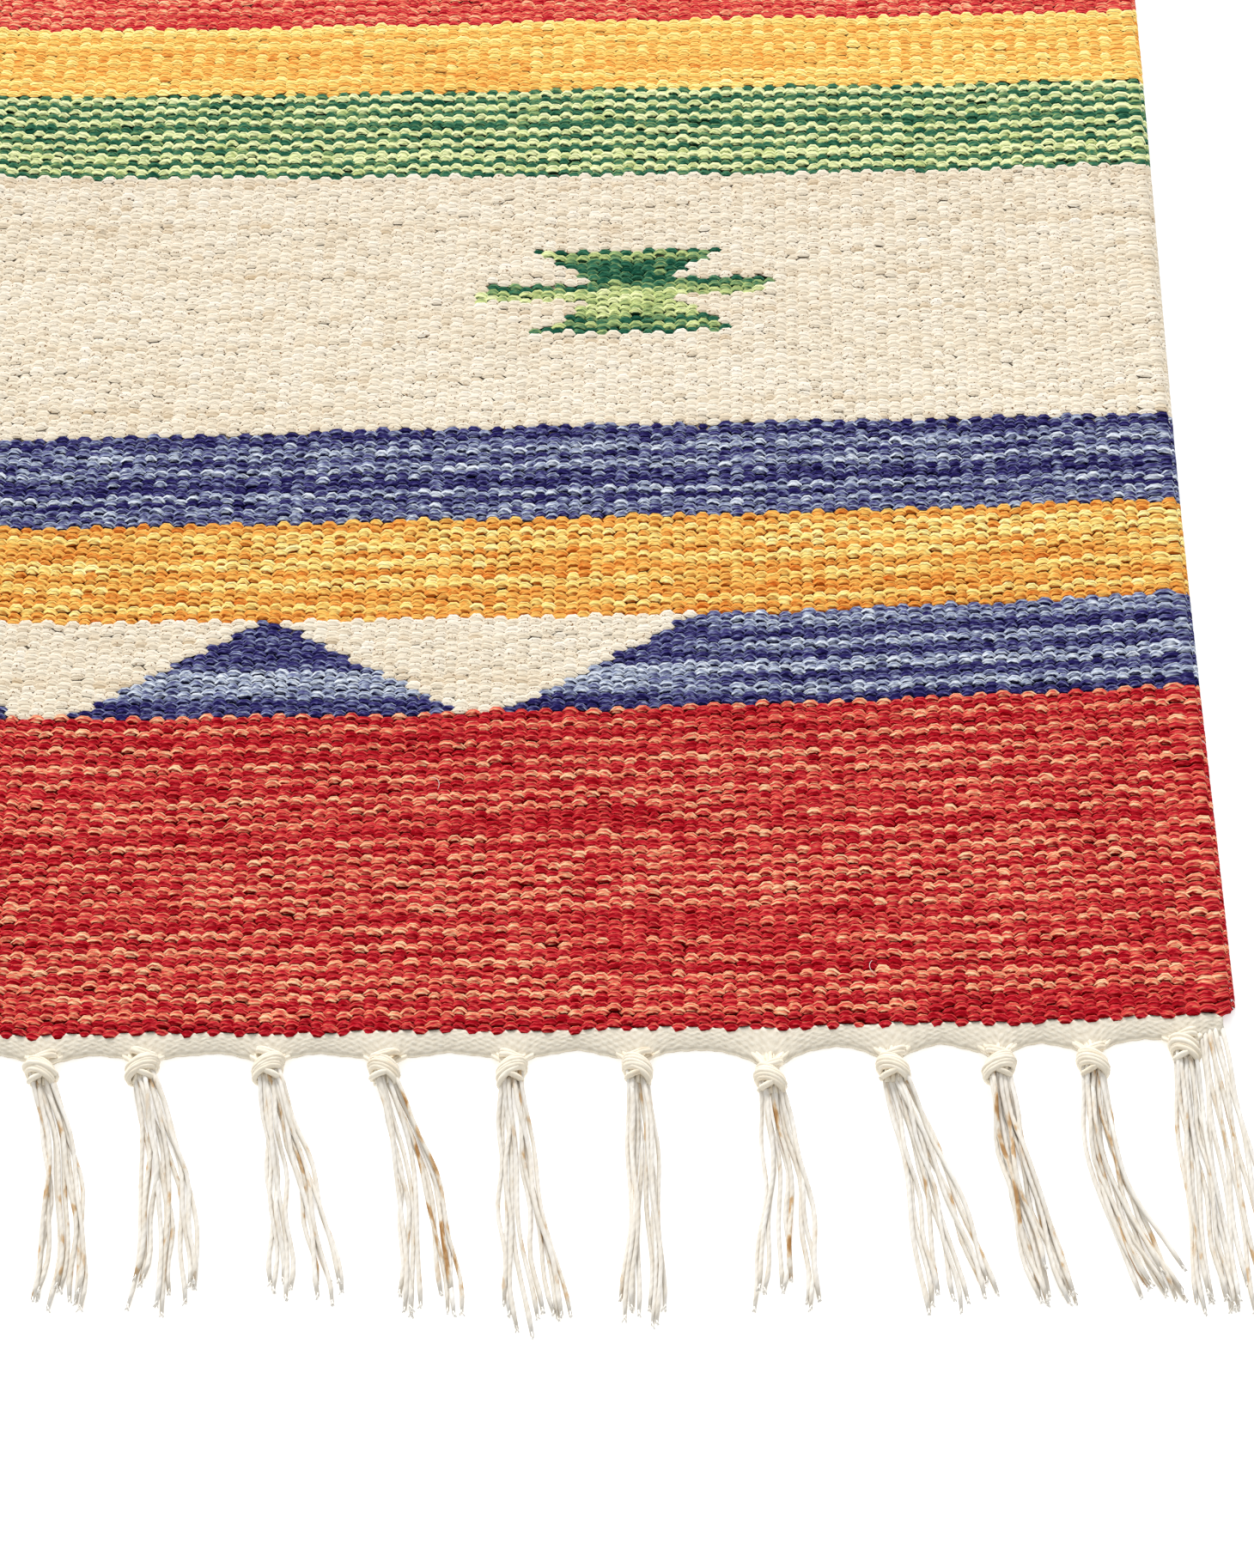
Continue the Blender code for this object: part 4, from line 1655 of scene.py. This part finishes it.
@dataclass(frozen=True)
class Straws:
    """Many thin tubes of one kind, bent along their own lines."""

    sides: int
    spans: int

    def lay(
        self,
        name: str,
        lines: np.ndarray,
        radii: np.ndarray,
        shades: np.ndarray,
        material: bpy.types.Material,
    ) -> bpy.types.Object:
        """Makes one piece of tubes.

        Args:
            name: the piece's name.
            lines: each tube's middle line, as tubes x rings x 3.
            radii: its radius at each ring.
            shades: one level for each tube, which its material reads.
            material: the finish.

        Returns:
            The piece.
        """
        straw = unit_straw(self.sides, self.spans)
        ring = np.rint(straw.points[:, 2]).astype(int)
        forward = np.gradient(lines, axis=1)
        forward /= np.linalg.norm(forward, axis=2, keepdims=True)
        sideways = np.cross(forward, np.array([0.0, 0.0, 1.0]))
        sideways /= np.maximum(np.linalg.norm(sideways, axis=2, keepdims=True), 1e-6)
        upward = np.cross(sideways, forward)
        out = sideways[:, ring] * straw.points[:, 0, None] + upward[:, ring] * straw.points[:, 1, None]
        places = lines[:, ring] + out * radii[:, ring, None]
        piece = straw.repeated(name, places, material)
        # Only the walls, whose faces have four corners, are smooth, so the cut ends don't darken them.
        piece.data.polygons.foreach_set("use_smooth", np.tile(straw.sizes == 4, len(lines)))

        # The map runs in millimetres along the tube and in turns round it. A face that closes the turn
        # has corners at 0 and near 1, and its corners at 0 are moved on to 1.
        steps = np.linalg.norm(np.diff(lines, axis=1), axis=2)
        length = np.concatenate([np.zeros((len(lines), 1)), np.cumsum(steps, axis=1)], axis=1)
        turn = np.arctan2(straw.points[:, 1], straw.points[:, 0]) / (2 * math.pi) % 1.0
        at_corner = turn[straw.corners]
        face = np.repeat(np.arange(len(straw.sizes)), straw.sizes)
        widest = np.zeros(len(straw.sizes))
        np.maximum.at(widest, face, at_corner)
        at_corner = at_corner + (widest[face] - at_corner > 0.5)
        start = STRAW_MAP_STEP * np.arange(len(lines))[:, None]
        straw.map_faces(piece, "strand", start + length[:, ring][:, straw.corners], at_corner[None] + start)
        add_levels(piece, "shade", np.repeat(shades, len(straw.points)))
        return piece


@dataclass
class Fringe:
    """The knotted warps of one end: knots, the strands that gather into them, and the strands below.

    Everything is worked out in the near end's layout: X across, and distances beyond the cloth's end.

    A pair of numbers holds the least and the greatest of what comes at random, and a spread is the usual
    size of a random difference. A share goes from 0 at a strand's root to 1 at its tip.
    """

    lie: ClothLie
    end: End

    # The strands of a tassel. Their order is muddled on the way, they fan out by the tassel's own spread,
    # they draw into clumps, and by droop_end they have come down to the floor.
    strand_radius: float = 0.6
    strand_counts: tuple[int, int] = (9, 12)
    strand_spans: int = 14
    strand_sides: int = 6
    root_width: float = 4.6
    root_height: float = 3.0
    root_spread: float = 0.9
    root_inset: float = 0.8
    muddle: float = 0.9
    fanning: float = 1.2
    clumping: float = 0.4
    opening_power: float = 0.9
    tip_unevenness: float = 2.6
    wiggle: float = 0.62
    wiggle_counts: tuple[float, float] = (1.0, 2.6)
    droop_end: float = 0.2
    end_taper: tuple[float, float] = (1.15, 0.8)
    thickness_range: tuple[float, float] = (0.9, 1.08)

    # The turns of a knot: half its width, half its height, the height of its middle, and the angles
    # where a turn starts and ends.
    knot_sides: int = 6
    knot_strand_radius: float = 0.76
    wrap_spans: int = 18
    wrap_gap: float = 0.92
    wrap_width: float = 3.2
    wrap_height: float = 2.2
    wrap_middle: float = 2.8
    wrap_slant: float = 1.5
    wrap_start: float = -1.2
    wrap_end: float = 4.35
    size_range: tuple[float, float] = (0.93, 1.07)
    loose_spread: float = 0.05
    turn_spread: float = 0.16
    slant_spread: float = 0.15

    # The warps that gather from the heading into a knot, spread out at first and packed inside it.
    neck_strands: int = 9
    neck_spans: int = 11
    neck_sides: int = 5
    neck_radius: float = 0.62
    neck_spread: float = 1.35
    neck_packing: float = 0.42
    neck_start: float = 3.4
    neck_end: float = 4.6

    # The loose strands beside a selvedge, which drift outwards, each a little further than the last.
    corner_strands: int = 8
    corner_across: float = 296.4
    corner_inset: float = 1.5
    corner_spacing: float = 1.15
    corner_start: float = 2.0
    corner_height: float = 1.2
    corner_reach: float = 81.0
    corner_drift: float = 4.4
    corner_splay: float = 0.7
    corner_waves: float = 1.7

    # The fibres of the frayed tips, which start inside the strand and point a little aside.
    hair_radius: float = 0.24
    hair_length: float = 1.3
    hair_root: float = 0.7
    hair_fan: float = 0.55
    hairs_per_strand: int = 3
    seed: int = 90

    # The turns of a knot, each with how loose it is, which way it slants, and its place along the knot.
    WRAPS = (
        (-0.06, 1.0, -1.9),
        (0.03, 1.0, -0.95),
        (0.06, 1.0, 0.0),
        (0.03, 1.0, 0.95),
        (-0.06, 1.0, 1.9),
        (-0.2, -0.8, -3.6),
        (-0.14, -0.8, -2.7),
        (-0.2, -0.9, 2.9),
    )

    def __post_init__(self) -> None:
        """Seeds this end's own differences."""
        self.chance = np.random.default_rng(self.seed + self.end.value)

    def laid_out(self, across: np.ndarray, distance: np.ndarray, height: np.ndarray) -> np.ndarray:
        """Real places of points in the near end's layout.

        Args:
            across: their X.
            distance: how far they lie beyond the cloth's end.
            height: their height above the floor.

        Returns:
            Their places, with a last axis of X, Y and Z.
        """
        y = self.lie.beyond(across, self.end, distance)
        return turned_for(self.end, np.stack(np.broadcast_arrays(across, y, height), axis=-1))

    def piled(self, across: np.ndarray, radius: float) -> np.ndarray:
        """Lays strands down one after another, each on the floor or on those below it.

        Args:
            across: X of each strand at each ring.
            radius: their radius.

        Returns:
            Their heights, in the same way.
        """
        heights = np.empty_like(across)
        for number in range(len(across)):
            height = np.full(across.shape[1], radius)
            for below in range(number):
                apart = np.abs(across[number] - across[below])
                lap = np.sqrt(np.clip((2 * radius) ** 2 - apart**2, 0.0, None)) * 0.9
                height = np.where(apart < 2 * radius, np.maximum(height, heights[below] + lap), height)
            heights[number] = height
        padded = np.pad(heights, ((0, 0), (1, 1)), mode="edge")
        return (padded[:, :-2] + 2 * heights + padded[:, 2:]) / 4

    def waves(self, counts: float | np.ndarray, starts: np.ndarray, share: np.ndarray) -> np.ndarray:
        """Sideways waves of strands.

        Args:
            counts: number of waves in each strand.
            starts: where in a wave it starts.
            share: places along the strands, from 0 to 1.

        Returns:
            How far the strands lie aside at each place.
        """
        return self.wiggle * np.sin(2 * math.pi * (counts * share + starts))

    def tassel_lines(self, tassel: Tassel) -> np.ndarray:
        """Middle lines of a tassel's strands.

        Args:
            tassel: its place and lean.

        Returns:
            The lines, as strands x rings x 3.
        """
        chance = self.chance
        fewest, most = self.strand_counts
        count = int(chance.integers(fewest, most + 1))
        share = np.linspace(0.0, 1.0, self.strand_spans + 1)[None, :]
        order = np.linspace(-0.5, 0.5, count)
        at_root = chance.permutation(order)[:, None] * self.root_width
        muddled = order[np.argsort(at_root[:, 0] + chance.normal(0, self.muddle, count)).argsort()]
        groups = int(chance.integers(2, 4))
        clump = np.clip(((muddled + 0.5) * groups).astype(int), 0, groups - 1)
        centre = (clump + 0.5) / groups - 0.5
        at_tip = ((muddled + self.clumping * (centre - muddled)) * tassel.spread * self.fanning)[:, None]
        opening = share**self.opening_power
        sway = tassel.lean * share + tassel.bend * np.sin(math.pi * share)
        wave_counts = chance.uniform(*self.wiggle_counts, (count, 1))
        wiggle = self.waves(wave_counts, chance.uniform(0, 1, (count, 1)), share)
        across = tassel.across + at_root * (1 - opening) + at_tip * opening + sway
        across = across + wiggle * np.minimum(share * 4, 1)
        top = tassel.drop + self.root_inset
        reach = tassel.reach + self.tip_unevenness * chance.standard_normal((count, 1))
        distance = top + (reach - top) * share
        resting = self.piled(across, self.strand_radius)
        root = self.root_height + self.root_spread * chance.uniform(-1, 1, (count, 1))
        droop = smooth_step(share / self.droop_end)
        height = root * (1 - droop) + resting * droop
        return self.laid_out(across, distance, np.maximum(height, self.strand_radius))

    def corner_lines(self, side: int) -> np.ndarray:
        """Middle lines of the loose strands beside one selvedge.

        Args:
            side: -1 for the left one and 1 for the right one.

        Returns:
            The lines, as strands x rings x 3.
        """
        chance = self.chance
        share = np.linspace(0.0, 1.0, self.strand_spans + 1)[None, :]
        order = (np.arange(self.corner_strands) - (self.corner_strands - 1) / 2)[:, None]
        wiggle = self.waves(self.corner_waves, chance.uniform(0, 1, order.shape), share)
        drift = side * (self.corner_drift + self.corner_splay * order) * share
        spacing = self.corner_spacing * (0.6 + 0.4 * share)
        across = side * self.corner_across + order * spacing + drift + wiggle
        across = across - side * self.corner_inset * (1 - share)
        reach = self.corner_reach + self.tip_unevenness * chance.standard_normal(order.shape)
        distance = self.corner_start + (reach - self.corner_start) * share
        resting = self.piled(across[chance.permutation(len(across))], self.strand_radius)
        droop = smooth_step(share / self.droop_end)
        height = self.corner_height * (1 - droop) + resting * droop
        return self.laid_out(across, distance, height)

    def knot_lines(self, tassel: Tassel) -> np.ndarray:
        """Middle lines of the strands that wrap round an overhand knot, one way and back the other way.

        Args:
            tassel: the knot's place.

        Returns:
            The lines, as strands x rings x 3.
        """
        chance = self.chance
        hand = chance.choice([-1.0, 1.0])
        size = chance.uniform(*self.size_range)
        turn = np.linspace(self.wrap_start, self.wrap_end, self.wrap_spans + 1)
        lines = []
        for bulge, slant, place in self.WRAPS:
            loose = 1 + bulge + self.loose_spread * chance.standard_normal()
            at = turn + self.turn_spread * chance.standard_normal()
            x = hand * self.wrap_width * size * loose * np.cos(at)
            tilt = slant * self.wrap_slant * (1 + self.slant_spread * chance.standard_normal())
            distance = place * self.wrap_gap + tilt * np.cos(at) + 0.5 * tilt * (1 - np.sin(at))
            z = self.wrap_middle + self.wrap_height * loose * np.sin(at)
            lines.append(np.stack([x, distance, np.maximum(z, self.knot_strand_radius)], axis=-1))
        x, distance, z = np.moveaxis(np.array(lines), -1, 0)
        return self.laid_out(tassel.across + x, tassel.drop + distance, z)

    def neck_lines(self, tassel: Tassel) -> np.ndarray:
        """Middle lines of the warps that gather from the heading and run through a knot.

        Args:
            tassel: the knot's place.

        Returns:
            The lines, as strands x rings x 3.
        """
        chance = self.chance
        share = np.linspace(0.0, 1.0, self.neck_spans + 1)[None, :]
        order = (np.arange(self.neck_strands) - (self.neck_strands - 1) / 2)[:, None]
        order = order + chance.uniform(-0.3, 0.3, order.shape)
        gathered = smooth_step(share * 1.9)
        across = tassel.across + order * (self.neck_spread * (1 - gathered) + self.neck_packing * gathered)
        first = self.neck_start + 0.25 * np.abs(order)
        last = tassel.drop + self.neck_end
        distance = first + (last - first) * share
        # They rise to the knot's middle, come down on its far side, and lie in an uneven heap.
        pile = 0.7 * np.cos(order * 1.9) * gathered
        height = 0.7 + 2.5 * smooth_step(share * 1.7) - 1.2 * smooth_step(share * 3 - 2) + pile
        return self.laid_out(across, distance, np.maximum(height, self.neck_radius))

    def hair_lines(self, strands: np.ndarray) -> np.ndarray:
        """Middle lines of the fine fibres that fray from the strands' tips.

        Args:
            strands: middle lines of the strands.

        Returns:
            The lines, as fibres x rings x 3.
        """
        chance = self.chance
        tips = np.repeat(strands[:, -1], self.hairs_per_strand, axis=0)
        forward = np.repeat(strands[:, -1] - strands[:, -3], self.hairs_per_strand, axis=0)
        forward /= np.linalg.norm(forward, axis=1, keepdims=True)
        count = len(tips)
        length = self.hair_length * chance.uniform(0.4, 1.0, (count, 1, 1))
        aside = np.stack([-forward[:, 1], forward[:, 0], np.zeros(count)], axis=-1)[:, None]
        fan = chance.uniform(-self.hair_fan, self.hair_fan, (count, 1, 1))
        share = np.linspace(-self.hair_root, 1.0, 3)[None, :, None]
        lines = tips[:, None] + length * share * (forward[:, None] + fan * aside) + 0.4 * fan * aside
        raised = lines[..., 2] + chance.uniform(0.15, 0.5, (count, 1))
        lines[..., 2] = np.maximum(raised, self.hair_radius)
        return lines

    def build(
        self, finish: bpy.types.Material, knotted: bpy.types.Material, fluff: bpy.types.Material
    ) -> list[bpy.types.Object]:
        """Makes this end's knots, necks, strands and frayed tips.

        Args:
            finish: cotton of the strands.
            knotted: cotton of the knots and the warps that lead to them.
            fluff: loose fibre of the frayed tips.

        Returns:
            The pieces.
        """
        label = self.end.name.lower()
        strands = np.concatenate(
            [self.tassel_lines(t) for t in TASSELS] + [self.corner_lines(side) for side in (-1, 1)]
        )
        knots = np.concatenate([self.knot_lines(t) for t in TASSELS])
        necks = np.concatenate([self.neck_lines(t) for t in TASSELS])
        hairs = self.hair_lines(strands)
        taper = np.ones(self.strand_spans + 1)
        taper[-2:] = self.end_taper
        thickness = self.chance.uniform(*self.thickness_range, (len(strands), 1))
        radii = self.strand_radius * taper * thickness
        strands[..., 2] = np.maximum(strands[..., 2], radii)
        made = [
            self.dressed(f"tassel_strands_{label}", self.strand_sides, strands, radii, 0.52, finish),
            # Knots and necks take a higher shade than the strands, painted light on their shaded fronts.
            self.dressed(f"knots_{label}", self.knot_sides, knots, self.knot_strand_radius, 0.6, knotted),
            self.dressed(f"knot_necks_{label}", self.neck_sides, necks, self.neck_radius, 0.6, knotted),
            # The frayed tips take a high shade, painted light that lifts the shade among the strands.
            self.dressed(f"frayed_tips_{label}", 3, hairs, self.hair_radius, 0.9, fluff),
        ]
        nodes = [f"tassel_{label}_{number:02d}" for number in range(1, len(TASSELS) + 1)]
        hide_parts(*nodes)
        return made

    def dressed(
        self,
        name: str,
        sides: int,
        lines: np.ndarray,
        radii: float | np.ndarray,
        shade: float,
        finish: bpy.types.Material,
    ) -> bpy.types.Object:
        """Makes one piece of tubes in warp cotton, each a little lighter or darker than the next.

        Args:
            name: the piece's name.
            sides: sides of a tube.
            lines: middle lines of the tubes.
            radii: their radius, or the radius of each at each ring.
            shade: their usual shade.
            finish: their material.

        Returns:
            The piece.
        """
        shades = shade + 0.09 * self.chance.standard_normal(len(lines))
        full = np.broadcast_to(radii, lines.shape[:2])
        piece = Straws(sides, lines.shape[1] - 1).lay(name, lines, full, shades, finish)
        return piece


@dataclass
class Lint:
    """The few stray white fibres that lie on the face of the cloth.

    Attributes:
        lie: how the cloth lies.
        count: number of fibres.
        across_range: least and greatest X of their starts.
        along_range: least and greatest Y of them.
        curl: the most that a fibre turns along its length, in radians.
        length: of the longest fibre.
        radius: of a fibre.
        spans: spans along it.
        above: how far its ends lie above the cloth's face.
        arch: how much higher its middle does.
        seed: of all of this.
    """

    lie: ClothLie
    count: int = 26
    across_range: tuple[float, float] = (-280.0, 280.0)
    along_range: tuple[float, float] = (-445.0, 430.0)
    curl: float = 2.6
    length: float = 7.0
    radius: float = 0.09
    spans: int = 7
    above: float = 0.5
    arch: float = 0.5
    seed: int = 5

    def build(self, finish: bpy.types.Material) -> bpy.types.Object:
        """Makes the fibres as one piece.

        Args:
            finish: loose cotton fibre.

        Returns:
            The piece.
        """
        chance = np.random.default_rng(self.seed)
        across = chance.uniform(*self.across_range, (self.count, 1))
        along = chance.uniform(*self.along_range, (self.count, 1))
        heading = chance.uniform(0, 2 * math.pi, (self.count, 1))
        curl = chance.uniform(-self.curl, self.curl, (self.count, 1))
        share = np.linspace(0.0, 1.0, self.spans + 1)[None, :]
        direction = heading + curl * share
        step = self.length * chance.uniform(0.4, 1.0, (self.count, 1)) / self.spans
        x_nominal = across + np.cumsum(np.cos(direction), axis=1) * step
        y_nominal = along + np.cumsum(np.sin(direction), axis=1) * step
        x, y = self.lie.place(x_nominal, y_nominal)
        z = self.lie.height(x_nominal, y_nominal) + self.above + self.arch * np.sin(math.pi * share)
        lines = np.stack([x, y, z], axis=-1)
        radii = np.full(lines.shape[:2], self.radius)
        piece = Straws(3, self.spans).lay("stray_fibres", lines, radii, np.full(self.count, 0.9), finish)
        return piece


@dataclass
class Studio:
    """The pale floor, the soft light from behind the rug and the camera above its near corner.

    Attributes:
        floor_size: side of the floor, in metres.
        floor_colour: its hex colour.
        floor_glow: light of its own, which keeps the paper as white as the photo's ground.
        teeth_per_metre: fineness of the paper's tooth.
        tooth_height: its height, in millimetres.
        sky: strength of the white sky.
        key_strength: strength of the key light.
        key_softness: its width in the sky, in degrees.
        key_elevation: its height above the horizon, in degrees.
        key_azimuth: how far it is turned from straight behind the rug, in degrees.
        lens: the camera's focal length, in millimetres.
        sensor: height of its picture, in millimetres.
        yaw: how far it is turned to the left, in degrees.
        pitch: how far it looks down, in degrees.
        camera_place: where it stands, in metres.
    """

    floor_size: float = 6.0
    floor_colour: str = "#fbfbfa"
    floor_glow: float = 0.4
    teeth_per_metre: float = 900.0
    tooth_height: float = 0.02
    sky: float = 0.72
    key_strength: float = 3.0
    key_softness: float = 18.0
    key_elevation: float = 33.0
    key_azimuth: float = 12.0
    lens: float = 96.99
    sensor: float = 36.0
    yaw: float = 0.711
    pitch: float = 50.0
    camera_place: tuple[float, float, float] = (0.16039, -1.06726, 0.83089)

    def build(self) -> None:
        """Sets up the floor, light, camera and colour view."""
        self.lay_floor()
        self.light()
        self.aim_camera()
        bpy.context.scene.view_settings.view_transform = "Standard"

    def lay_floor(self) -> None:
        """A matt paper floor, faintly mottled."""
        shape = bmesh.new()
        bmesh.ops.create_grid(shape, x_segments=8, y_segments=8, size=self.floor_size / 2)
        mesh = bpy.data.meshes.new("paper_floor")
        shape.to_mesh(mesh)
        shape.free()
        floor = bpy.data.objects.new("paper_floor", mesh)
        bpy.context.scene.collection.objects.link(floor)
        # Matt white paper: the light on it is even, and its tooth is too fine to see.
        material, tree = blank_material("white paper")
        place = add_node(tree, "TexCoord").outputs["Object"]
        tooth = add_node(tree, "TexNoise", {"Vector": place, "Scale": self.teeth_per_metre})
        bump = add_node(tree, "Bump", {"Height": tooth, "Distance": self.tooth_height * METRES})
        shader = add_node(
            tree, "BsdfPrincipled",
            {
                "Base Color": linear(self.floor_colour),
                "Roughness": 0.95,
                "Specular IOR Level": 0.1,
                "Emission Color": (1.0, 1.0, 1.0, 1.0),
                "Emission Strength": self.floor_glow,
                "Normal": bump,
            },
        )
        add_node(tree, "OutputMaterial", {"Surface": shader})
        mesh.materials.append(material)

    def light(self) -> None:
        """A white sky, and a broad key light from behind that shades each grain on its near side."""
        world = bpy.data.worlds.new("white studio")
        bpy.context.scene.world = world
        world.use_nodes = True
        background = world.node_tree.nodes["Background"]
        background.inputs["Color"].default_value = (1.0, 1.0, 1.0, 1.0)
        background.inputs["Strength"].default_value = self.sky
        lamp = bpy.data.lights.new("key light", "SUN")
        lamp.energy = self.key_strength
        lamp.angle = math.radians(self.key_softness)
        key = bpy.data.objects.new("key light", lamp)
        tilt = math.radians(self.key_elevation - 90.0)
        key.rotation_euler = (tilt, 0.0, math.radians(self.key_azimuth))
        bpy.context.scene.collection.objects.link(key)

    def aim_camera(self) -> None:
        """Places the camera as the photograph's was."""
        yaw = math.radians(self.yaw)
        pitch = math.radians(self.pitch)
        level = math.cos(pitch)
        forward = Vector((-math.sin(yaw) * level, math.cos(yaw) * level, -math.sin(pitch)))
        right = Vector((math.cos(yaw), math.sin(yaw), 0.0))
        upward = right.cross(forward)
        lens = bpy.data.cameras.new("camera")
        lens.sensor_fit = "AUTO"
        lens.sensor_width = self.sensor
        lens.lens = self.lens
        camera = bpy.data.objects.new("camera", lens)
        turn = Matrix((right, upward, -forward)).transposed().to_4x4()
        turn.translation = Vector(self.camera_place)
        camera.matrix_world = turn
        bpy.context.scene.collection.objects.link(camera)
        bpy.context.scene.camera = camera


def triangles(piece: bpy.types.Object) -> int:
    """Number of triangles in a piece."""
    piece.data.calc_loop_triangles()
    return len(piece.data.loop_triangles)


def main() -> None:
    """Builds the rug's pieces in order, then logs each piece's triangles and their sum."""
    logging.basicConfig(level=logging.INFO, format="%(name)s: %(message)s")
    Studio().build()
    lie = ClothLie()
    weave = Weave(lie)
    web = HeadingFinish().material()
    cotton = WarpFinish("undyed cotton warp").material()
    knotted = WarpFinish("knotted cotton warp", KNOT_COLOURS_WITH_PAINTED_LIGHT).material()
    fluff = WarpFinish("loose cotton fibre", FLUFF_COLOURS_WITH_PAINTED_LIGHT, relief=0.0).material()
    pieces = WeftFace(weave).build()
    for end in End:
        pieces.append(Heading(lie, end).build(web))
        pieces += Fringe(lie, end).build(cotton, knotted, fluff)
    pieces.append(Lint(lie).build(fluff))
    pieces.append(GroundCloth(weave).build(pieces))
    for piece in pieces:
        log.info("%s: %d triangles", piece.name, triangles(piece))
    log.info("all pieces: %d triangles", sum(map(triangles, pieces)))


if __name__ == "__main__":
    main()
